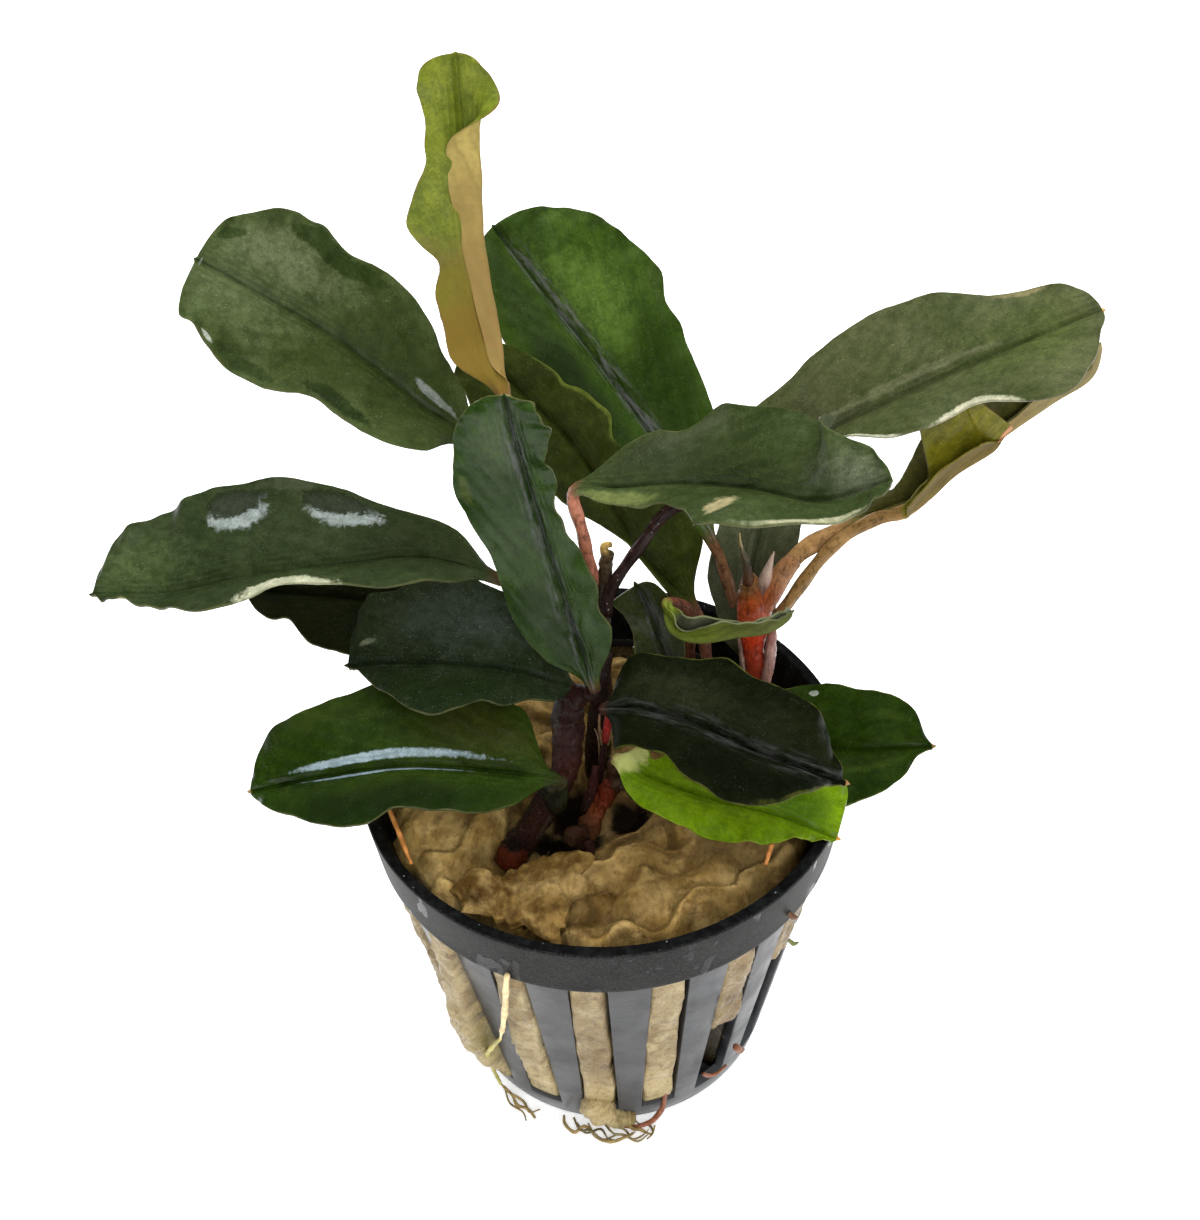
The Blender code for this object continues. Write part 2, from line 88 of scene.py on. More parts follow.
def bell(u, v=0.0):
    """1 at the middle, and nothing from about 2 away."""
    return np.exp(-(u**2) - v**2)


def value_noise(points, seed):
    cell = np.floor(points).astype(np.int64)
    f = points - cell
    f = f * f * (3 - 2 * f)
    total = np.zeros(len(points))
    for corner in np.ndindex(2, 2, 2):
        weight = 1.0
        for axis, d in enumerate(corner):
            weight = weight * (f[:, axis] if d else 1 - f[:, axis])
        total += weight * lattice(*(cell + corner).T, seed)
    return total


def fractal(points, size, octaves, seed, gain=0.5):
    """Smooth noise from about -1 to 1 whose largest features are size wide."""
    points = np.asarray(points, float) / size
    total, strength = 0.0, 1.0
    for k in range(octaves):
        total = total + strength * value_noise(points * 2**k + 17.3 * k, seed + 31 * k)
        strength *= gain
    return total


# ---------------------------------------------------------------- meshes


def mesh_object(name, points, faces, materials, face_material, replaces=()):
    """A piece from points in millimetres. It rides on the one body."""
    mesh = bpy.data.meshes.new(name)
    mesh.from_pydata((np.asarray(points) * MM).tolist(), [], faces)
    mesh.update()
    for material in materials:
        mesh.materials.append(material)
    if face_material is not None:
        mesh.polygons.foreach_set("material_index", face_material)
    mesh.shade_smooth()
    obj = bpy.data.objects.new(name, mesh)
    scene.collection.objects.link(obj)
    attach(obj, "root")
    if replaces:
        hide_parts(*replaces)
    return obj


def store(obj, name, vectors):
    """Keeps a vector for each point of the mesh, which a material reads by name."""
    made = obj.data.attributes.new(name, "FLOAT_VECTOR", "POINT")
    made.data.foreach_set("vector", np.asarray(vectors, np.float32).ravel())


def run_along(points):
    """Length of a line up to each of its points."""
    steps = np.linalg.norm(np.diff(points, axis=0), axis=1)
    return np.concatenate(([0.0], np.cumsum(steps)))


def tube_faces(rows, sides):
    """Faces of a tube of rows of points, with a fan at each end to the two points after them."""
    faces = []
    for a in range(0, (rows - 1) * sides, sides):
        for j in range(sides):
            k = (j + 1) % sides
            faces.append((a + j, a + k, a + sides + k, a + sides + j))
    first, last_row = rows * sides, (rows - 1) * sides
    for j in range(sides):
        k = (j + 1) % sides
        faces.append((first, k, j))
        faces.append((first + 1, last_row + j, last_row + k))
    return faces


def tube(path, radii, rows, sides, lumps=0.0, lump_size=1.5, seed=1, rings=0.0, ring_every=2.0):
    """Points, faces and millimetres along of a round stem with lumps and with scars round it."""
    middle = spline(path, np.linspace(0, len(path) - 1, rows))
    radius = spline(radii, np.linspace(0, len(radii) - 1, rows))
    ahead = unit(np.gradient(middle, axis=0))
    reference = np.array((0.31, -0.71, 0.63))
    side = unit(np.cross(ahead, reference))
    up = np.cross(side, ahead)
    run = run_along(middle)
    turn = np.arange(sides) * 2 * math.pi / sides
    out = np.cos(turn)[None, :, None] * side[:, None] + np.sin(turn)[None, :, None] * up[:, None]
    scar = bell(((run + 0.6) % ring_every - ring_every / 2) / 0.22)
    points = middle[:, None] + out * (radius + rings * scar)[:, None, None]
    flat = points.reshape(-1, 3)
    if lumps:
        flat = flat + out.reshape(-1, 3) * (lumps * fractal(flat, lump_size, 3, seed))[:, None]
    ends = (middle[0] - ahead[0] * radius[0] * 0.3, middle[-1] + ahead[-1] * radius[-1] * 0.3)
    run = np.concatenate((np.repeat(run, sides), (0, run[-1])))
    return np.concatenate((flat, ends)), tube_faces(rows, sides), run


def joined(parts):
    """Several (points, faces) as one."""
    points, faces, start = [], [], 0
    for some, more in parts:
        points.append(some)
        faces.extend(tuple(i + start for i in face) for face in more)
        start += len(some)
    return np.concatenate(points), faces


# ---------------------------------------------------------------- materials


class Value:
    """A node's output. Arithmetic with it makes further nodes."""

    def __init__(self, graph, socket):
        self.graph, self.socket = graph, socket

    def __add__(self, other):
        return self.graph.math("ADD", self, other)

    def __sub__(self, other):
        return self.graph.math("SUBTRACT", self, other)

    def __rsub__(self, other):
        return self.graph.math("SUBTRACT", other, self)

    def __mul__(self, other):
        return self.graph.math("MULTIPLY", self, other)

    def __truediv__(self, other):
        return self.graph.math("DIVIDE", self, other)


class Graph:
    """The node tree of a material or of the world, with short names for the nodes used here."""

    def __init__(self, owner, shader="Principled BSDF", place="Object"):
        self.owner = bpy.data.materials.new(owner) if isinstance(owner, str) else owner
        self.owner.use_nodes = True
        self.nodes = self.owner.node_tree.nodes
        self.shader = self.nodes[shader]
        self.place = Value(self, self.nodes.new("ShaderNodeTexCoord").outputs[place])

    def put(self, socket, value):
        if isinstance(value, Value):
            self.owner.node_tree.links.new(value.socket, socket)
        elif isinstance(value, tuple) and len(value) < len(socket.default_value):
            socket.default_value = (*value, 1.0)
        else:
            socket.default_value = value

    def node(self, kind, *values, **named):
        """A new node, with its first inputs put in, and others by name."""
        node = self.nodes.new("ShaderNode" + kind)
        for socket, value in zip(node.inputs, values):
            self.put(socket, value)
        for name, value in named.items():
            self.put(node.inputs[name], value)
        return node

    def split(self, vector):
        return [Value(self, part) for part in self.node("SeparateXYZ", vector).outputs]

    def read(self, name):
        """The parts of a vector stored on the mesh."""
        node = self.node("Attribute")
        node.attribute_name = name
        return self.split(Value(self, node.outputs["Vector"]))

    def join(self, x, y, z):
        return Value(self, self.node("CombineXYZ", x, y, z).outputs[0])

    def math(self, operation, a, b=0.0):
        node = self.node("Math", a, b)
        node.operation = operation
        return Value(self, node.outputs[0])

    def fade(self, value, low, high, to_low=0.0, to_high=1.0):
        """Smoothly from to_low at low to to_high at high."""
        node = self.node("MapRange", value, low, high, to_low, to_high)
        node.interpolation_type = "SMOOTHSTEP"
        return Value(self, node.outputs[0])

    def mix(self, share, a, b, blend="MIX"):
        node = self.node("Mix", share)
        node.data_type, node.blend_type = "RGBA", blend
        self.put(node.inputs[6], a)
        self.put(node.inputs[7], b)
        return Value(self, node.outputs[2])

    def dim(self, share, colour, factor):
        """The colour, multiplied by a factor as far as share says."""
        return self.mix(share, colour, self.mix(1.0, colour, factor, "MULTIPLY"))

    def noise(self, size, detail=3.0, rough=0.5, place=None, distortion=0.0):
        """Noise whose features are about size millimetres wide."""
        node = self.node(
            "TexNoise", Vector=place or self.place, Scale=1.0 / (size * MM),
            Detail=detail, Roughness=rough, Distortion=distortion,
        )
        return Value(self, node.outputs["Fac"])

    def cells(self, size):
        """Distance from the nearest of many scattered points, about size millimetres apart."""
        node = self.node("TexVoronoi", Vector=self.place, Scale=1.0 / (size * MM))
        return Value(self, node.outputs["Distance"])

    def stretch(self, scale):
        return Value(self, self.node("Mapping", Vector=self.place, Scale=scale).outputs[0])

    def bump(self, height, depth, strength=1.0, after=None):
        """Relief depth millimetres deep."""
        node = self.node("Bump", Height=height, Distance=depth * MM, Strength=strength)
        if after is not None:
            self.put(node.inputs["Normal"], after)
        return Value(self, node.outputs[0])

    def finish(self, colour, roughness, normal=None, **constants):
        if normal is not None:
            constants["Normal"] = normal
        constants.update(Base_Color=colour, Roughness=roughness)
        for name, value in constants.items():
            self.put(self.shader.inputs[name.replace("_", " ")], value)
        return self.owner


# ---------------------------------------------------------------- leaves

# The way that blades face where they have no roll.
LIGHT = np.array((0.0, -0.733, 0.680))
LEAF_THICKNESS = 0.34
TIP_HALF_WIDTH = 0.25
BLADE_FOOT = 1.7
BLADE_ROWS = 92
PETIOLE_ROWS = 22
TIP_ROWS = 5
PATH_SAMPLES = 1500
SECTION_STEPS = 60
# Veins: millimetres that they run on for each that they run out, and their distance.
VEIN_LEAN = 2.3
VEIN_PITCH = 3.6
# Columns from the midrib out to the margin, closer together at both.
COLUMNS = (
    0, 0.018, 0.04, 0.07, 0.11, 0.16, 0.22, 0.29, 0.36, 0.43, 0.5, 0.57, 0.64, 0.71, 0.78,
    0.84, 0.89, 0.93, 0.965, 0.988, 1,
)
SIDEWAYS = np.array([-c for c in COLUMNS[:0:-1]] + list(COLUMNS))


class Leaf(NamedTuple):
    """One leaf, as in the part's source, with what its surface adds.

    The first petiole steps of the path are the stalk. left and right are the half widths down the
    blade, and roll turns it about the path. fold lifts its left and its right half, and curl bends
    the right one further, which rolled_in makes a tight roll near the midrib. lift is the share of
    the thickness above the middle, and arch the height of the halves as a share of the width.
    waves are height, count and phase of the margin's waves, left and then right. bumps add to
    the outline: side (1 left, -1 right), share of the blade, width and spread. ripple is the
    outline's fine unevenness, and sweep carries the left margin ahead.
    """

    path: tuple
    left: tuple
    right: tuple
    petiole: int = 0
    roll: float = 0.0
    fold: tuple = (12, 12)
    curl: float = 0.0
    lift: float = 0.5
    rolled_in: bool = False
    arch: float = 0.06
    waves: tuple = ((0.2, 3.0, 0.3), (0.2, 3.5, 1.9))
    bumps: tuple = ()
    groove: float = 0.2
    stalk: float = 0.6
    tip_length: float = 0.5
    ripple: float = 0.09
    sweep: float = 0.0


LEAVES = {
    "leaf_tall": Leaf(
        path=((-0.5, 8.7, 57.5), (-4, 9.5, 65.5), (-7.5, 11, 79), (-8.5, 14, 84.5),
              (-9.5, 16, 92.5), (-9.5, 17, 100.5), (-9.5, 18, 105), (-9.5, 18.5, 108)),
        petiole=2, left=(4, 4.5, 4.5, 3, 3.5, 2.5), right=(2.4, 3.4, 4.8, 4.7, 3.1, 1.9), curl=185,
        lift=0, rolled_in=True,
        bumps=((1, 0.07, 1, 0.05), (1, 0.24, -1.3, 0.035), (1, 0.33, 0.9, 0.04),
               (1, 0.46, -0.9, 0.05)),
        tip_length=0.15,
    ),
    "leaf_upper_left": Leaf(
        path=((-0.3, 7.6, 52.8), (-5, 7.5, 61), (-11, 10.5, 74), (-15.5, 11.5, 78.5),
              (-22, 13, 84.5), (-29, 14, 89.5), (-33.5, 14.5, 92.5)),
        petiole=2, left=(5.5, 6, 8, 7.5, 6, 5), right=(5.5, 7.5, 7.5, 8, 6, 4), roll=-12,
        waves=((0.35, 3, 0.3), (0.35, 4.5, 1.9)),
        bumps=((-1, 0.14, -0.5, 0.03), (-1, 0.375, -0.4, 0.04), (-1, 0.47, 0.45, 0.03),
               (1, 0.95, 0.6, 0.03)),
        groove=0.12, tip_length=0.2,
    ),
    "leaf_upper_back": Leaf(
        path=((14, 8, 54.5), (13, 10, 57.5), (12, 12, 59.5), (7, 20, 66), (1.5, 25.5, 72.5),
              (-4.5, 28.5, 80.5), (-8.5, 31, 85.5)),
        petiole=2, left=(4, 7, 8, 7.5, 5.5, 3), right=(6.5, 9, 11, 10, 7.5, 4), roll=-25,
        waves=((0.2, 3, 0.3), (0.35, 4.6, 1.9)),
        bumps=((-1, 0.3, 0.6, 0.025), (-1, 0.35, -0.3, 0.02), (-1, 0.39, 0.6, 0.025)), groove=0.3,
        tip_length=0.2,
    ),
    "leaf_front_right": Leaf(
        path=((0, 7, 58.5), (-1, 4.5, 68), (-1.5, 2.5, 74.5), (2.5, 0, 76.5), (7.5, -3, 79),
              (13, -8, 82), (17.5, -13, 84.5), (22.5, -15, 88)),
        petiole=2, left=(5, 7, 7, 7, 4.5, 2.5), right=(3, 5, 8, 3.5, 2.5, 2), roll=32,
        fold=(25, 25), waves=((0.35, 3.5, 0.3), (0.25, 3.5, 1.9)),
        bumps=((1, 0.18, -0.9, 0.03), (1, 0.24, 0.7, 0.03)), groove=0.12, tip_length=0.1,
    ),
    "leaf_centre": Leaf(
        path=((-0.5, -2, 53.5), (-3, 1.5, 62.5), (-5, 3, 72), (-6.5, 3, 80.5), (-7, 3.5, 84.5)),
        left=(5.5, 5.5, 7, 6, 5, 3), right=(4.5, 3, 2.5, 3, 4, 3), roll=28,
        waves=((0.3, 4, 0.3), (0.35, 5, 1.9)),
        bumps=((-1, 0.15, -0.7, 0.03), (-1, 0.22, 0.65, 0.03), (-1, 0.32, -0.3, 0.03),
               (-1, 0.48, 0.6, 0.04)),
        groove=0.34, tip_length=0.2,
    ),
    "leaf_olive": Leaf(
        path=((12, 6.5, 39.2), (11.5, 6.3, 45), (11, 6.5, 49.5), (10, 8, 54), (4.5, 11, 60),
              (-1, 15.5, 69), (-5.5, 17.5, 74), (-11, 19.5, 79.5)),
        petiole=3, left=(0.5, 4.5, 6, 6, 4.5, 3.5), right=(6.5, 4, 4.5, 3.5, 2.5, 1), roll=-14,
        bumps=((-1, 0.08, 1.2, 0.05), (-1, 0.33, -0.5, 0.02), (-1, 0.37, 0.5, 0.02),
               (-1, 0.48, -0.6, 0.03)),
    ),
    "leaf_left": Leaf(
        path=((-1, 6, 53), (-5, 5, 59), (-9, 4, 63), (-15.5, 3.5, 66.5), (-23.5, 2, 67.5),
              (-32, 1.5, 67), (-39.5, 2, 65), (-47.5, 3.5, 64)),
        petiole=2, left=(5, 3, 5, 2.5, 1, 0.5), right=(5.5, 9.5, 10, 9, 7.5, 5), roll=-42,
        fold=(20, 20), waves=((0.3, 4.5, 0.3), (0.4, 4, 1.1)), bumps=((-1, 0.18, 0.7, 0.04),),
        groove=0.12,
    ),
    "leaf_left_under": Leaf(
        path=((-1.1, 5.3, 51.3), (-4, 4.5, 52.5), (-11.5, 6, 55.5), (-19.5, 7.5, 57),
              (-27.5, 8, 58.5), (-34.5, 8.5, 59)),
        petiole=1, left=(4, 6.5, 7, 5.5, 3.5, 1.5), right=(4, 6, 6.5, 5.5, 4, 2), roll=-30,
        bumps=((1, 0.62, -1.6, 0.06),),
    ),
    "leaf_middle_left": Leaf(
        path=((-2.3, -0.1, 51.6), (-7.5, -0.5, 55), (-13.5, -1, 57), (-19, -1, 57.5),
              (-24, -0.5, 57)),
        left=(3.5, 5.5, 6, 4, 1.5, 0.5), right=(6.5, 8.5, 8.5, 7.5, 7, 4.5), roll=-32,
        waves=((0.25, 4, 0.3), (0.3, 4, 1.9)), bumps=((1, 0.27, -0.9, 0.04),), groove=0.15,
    ),
    "leaf_lower_left": Leaf(
        path=((-5.2, -7.1, 45.2), (-4.5, -7.5, 47), (-12, -7.5, 49), (-19.5, -8, 50.5),
              (-27, -8.5, 50), (-34, -8, 48)),
        petiole=1, left=(5, 4.5, 6, 4, 2.5, 1), right=(8, 8.5, 7.5, 6.5, 5.5, 2), roll=-28,
        arch=0.09, bumps=((1, 0.2, -0.4, 0.03), (1, 0.37, 0.35, 0.03), (-1, 0.06, 1.2, 0.04)),
    ),
    "leaf_lower_front": Leaf(
        path=((0.1, -3.1, 52), (3.5, -5, 54), (9, -8, 54.5), (14.5, -11, 53.5), (19, -12, 52),
              (22.5, -12, 50)),
        left=(5.5, 6, 6.5, 5.5, 2.5, 0.5), right=(4, 6, 5.5, 3, 1, 0.5), roll=22,
        waves=((0.4, 4, 0.3), (0.3, 3.5, 1.9)),
        bumps=((1, 0.24, 0.9, 0.04), (-1, 0.2, -0.6, 0.04), (1, 0.07, 1.3, 0.04),
               (-1, 0.06, 1.8, 0.04)),
        groove=0.34,
    ),
    "leaf_lime": Leaf(
        path=((1, -5, 47), (5, -7.5, 46.5), (10.5, -10, 46), (16.5, -11.5, 45), (22, -13, 43)),
        left=(2.5, 3, 4.5, 5, 5, 4.5), right=(3.5, 4, 3.5, 2, 1, 0.5), roll=20,
        waves=((0.3, 3, 0.3), (0.45, 5, 1.9)),
        bumps=((1, 0.035, 1.7, 0.025), (1, 0.085, -0.7, 0.02), (1, 0.14, 1.2, 0.03),
               (1, 0.22, -0.4, 0.03)),
    ),
    "leaf_lower_right": Leaf(
        path=((9.6, 2, 39.6), (10.2, 1, 43.2), (11.5, -0.5, 46.5), (18.5, -3, 45.5),
              (24.5, -4.5, 46), (28, -5, 46.5), (32.5, -4.5, 46)),
        petiole=2, left=(5.5, 6.5, 6, 5.5, 4, 1), right=(4.5, 7, 5.5, 3.5, 1, 0.5), roll=22,
        groove=0.15,
    ),
    "leaf_small": Leaf(
        path=((5.5, 3, 39.4), (6.3, 3.8, 44.5), (7, 4.5, 49.5), (6, 6, 53), (5, 7, 56), (4, 8, 58)),
        petiole=2, left=(3, 2.4, 2.4, 2.7, 3, 2.8), right=(2.4, 2.6, 2.6, 2.2, 1.8, 1.2), arch=0.1,
        waves=((0.08, 2, 0.3), (0.08, 2.5, 1.9)), groove=0.12,
    ),
    "leaf_boat": Leaf(
        path=((9.5, 7.5, 39), (9.5, 8.4, 48), (9.3, 8, 54), (7, 6, 57.2), (7.5, 3.5, 56),
              (10, 2.5, 55.5), (13.5, 2.5, 56), (16.5, 2.5, 56.5), (19, 4, 57)),
        petiole=3, left=(3.5, 3.5, 2, 1.5, 1.5, 1), right=(2, 3.5, 3, 1.5, 1, 0.5), fold=(60, 112),
        lift=0,
    ),
    "leaf_back": Leaf(
        path=((15.4, 8, 46.6), (15.5, 11, 52.5), (16.5, 13, 57.5), (18, 16, 63.5)),
        left=(3, 4.5, 4.5, 4, 3, 1.5), right=(3, 3, 4, 4, 3.5, 2),
    ),
    "leaf_big_right": Leaf(
        path=((1, 5.5, 56.5), (1.5, 6, 59.5), (4.5, 7, 64), (7, 7.5, 67.5), (10, 7, 69.5),
              (15.5, 7.5, 72.5), (23.5, 7.5, 77), (32, 7.5, 81.5), (40, 8, 85), (45, 8.5, 87)),
        petiole=4, left=(6, 8, 7.5, 5, 4, 2.5), right=(1, 4.5, 4.5, 8, 5.5, 2), roll=28,
        fold=(18, 18), waves=((0.25, 3, 0.3), (0.3, 3.5, 1.9)),
        bumps=((1, 0.16, -0.55, 0.04), (-1, 0.22, -1, 0.04), (-1, 0.34, 0.6, 0.04)), groove=0.1,
        tip_length=0.3,
    ),
    "leaf_gold": Leaf(
        path=((18.3, 6.6, 54.3), (23, 8, 61.5), (27, 8, 65), (29.5, 6.5, 67), (31.5, 6.5, 69),
              (34, 7, 71.5), (36.5, 7, 73.5), (37.5, 7, 74.5)),
        petiole=3, left=(1.6, 6.5, 7.3, 7.2, 6.5, 5.6), right=(3.5, 5, 3.5, 3.5, 4, 4),
        fold=(35, 106), lift=0, waves=((0.1, 3, 0.3), (0, 3.5, 1.9)), ripple=0.03, sweep=1.8,
        stalk=0.65,
    ),
    "leaf_under_right": Leaf(
        path=((17.5, 7.5, 57), (20.5, 9, 60.5), (25, 9.5, 63), (28.5, 9, 64.5), (31, 9, 65.5),
              (35, 10.5, 69), (39, 11, 72.5), (43.5, 12, 75.5), (46.5, 12.5, 77.5),
              (47.5, 13.5, 80)),
        petiole=2, left=(3.5, 5.5, 6, 5.5, 4.5, 2.5), right=(1.5, 2.5, 2.5, 2.5, 2, 1.5),
        fold=(30, 115), lift=0, bumps=((-1, 0.14, 1.6, 0.06),), stalk=0.9,
    ),
}


class Mark(NamedTuple):
    """A soft oval on a blade: its place and half sizes as shares of the blade, along and across.

    A gloss other than 0 takes the place of the blade's roughness. A mark with little of soft has
    a torn edge, and its colour isn't toned.
    """

    share: float
    across: float
    long: float
    wide: float
    colour: tuple
    strength: float = 0.8
    gloss: float = 0.0
    soft: float = 0.7


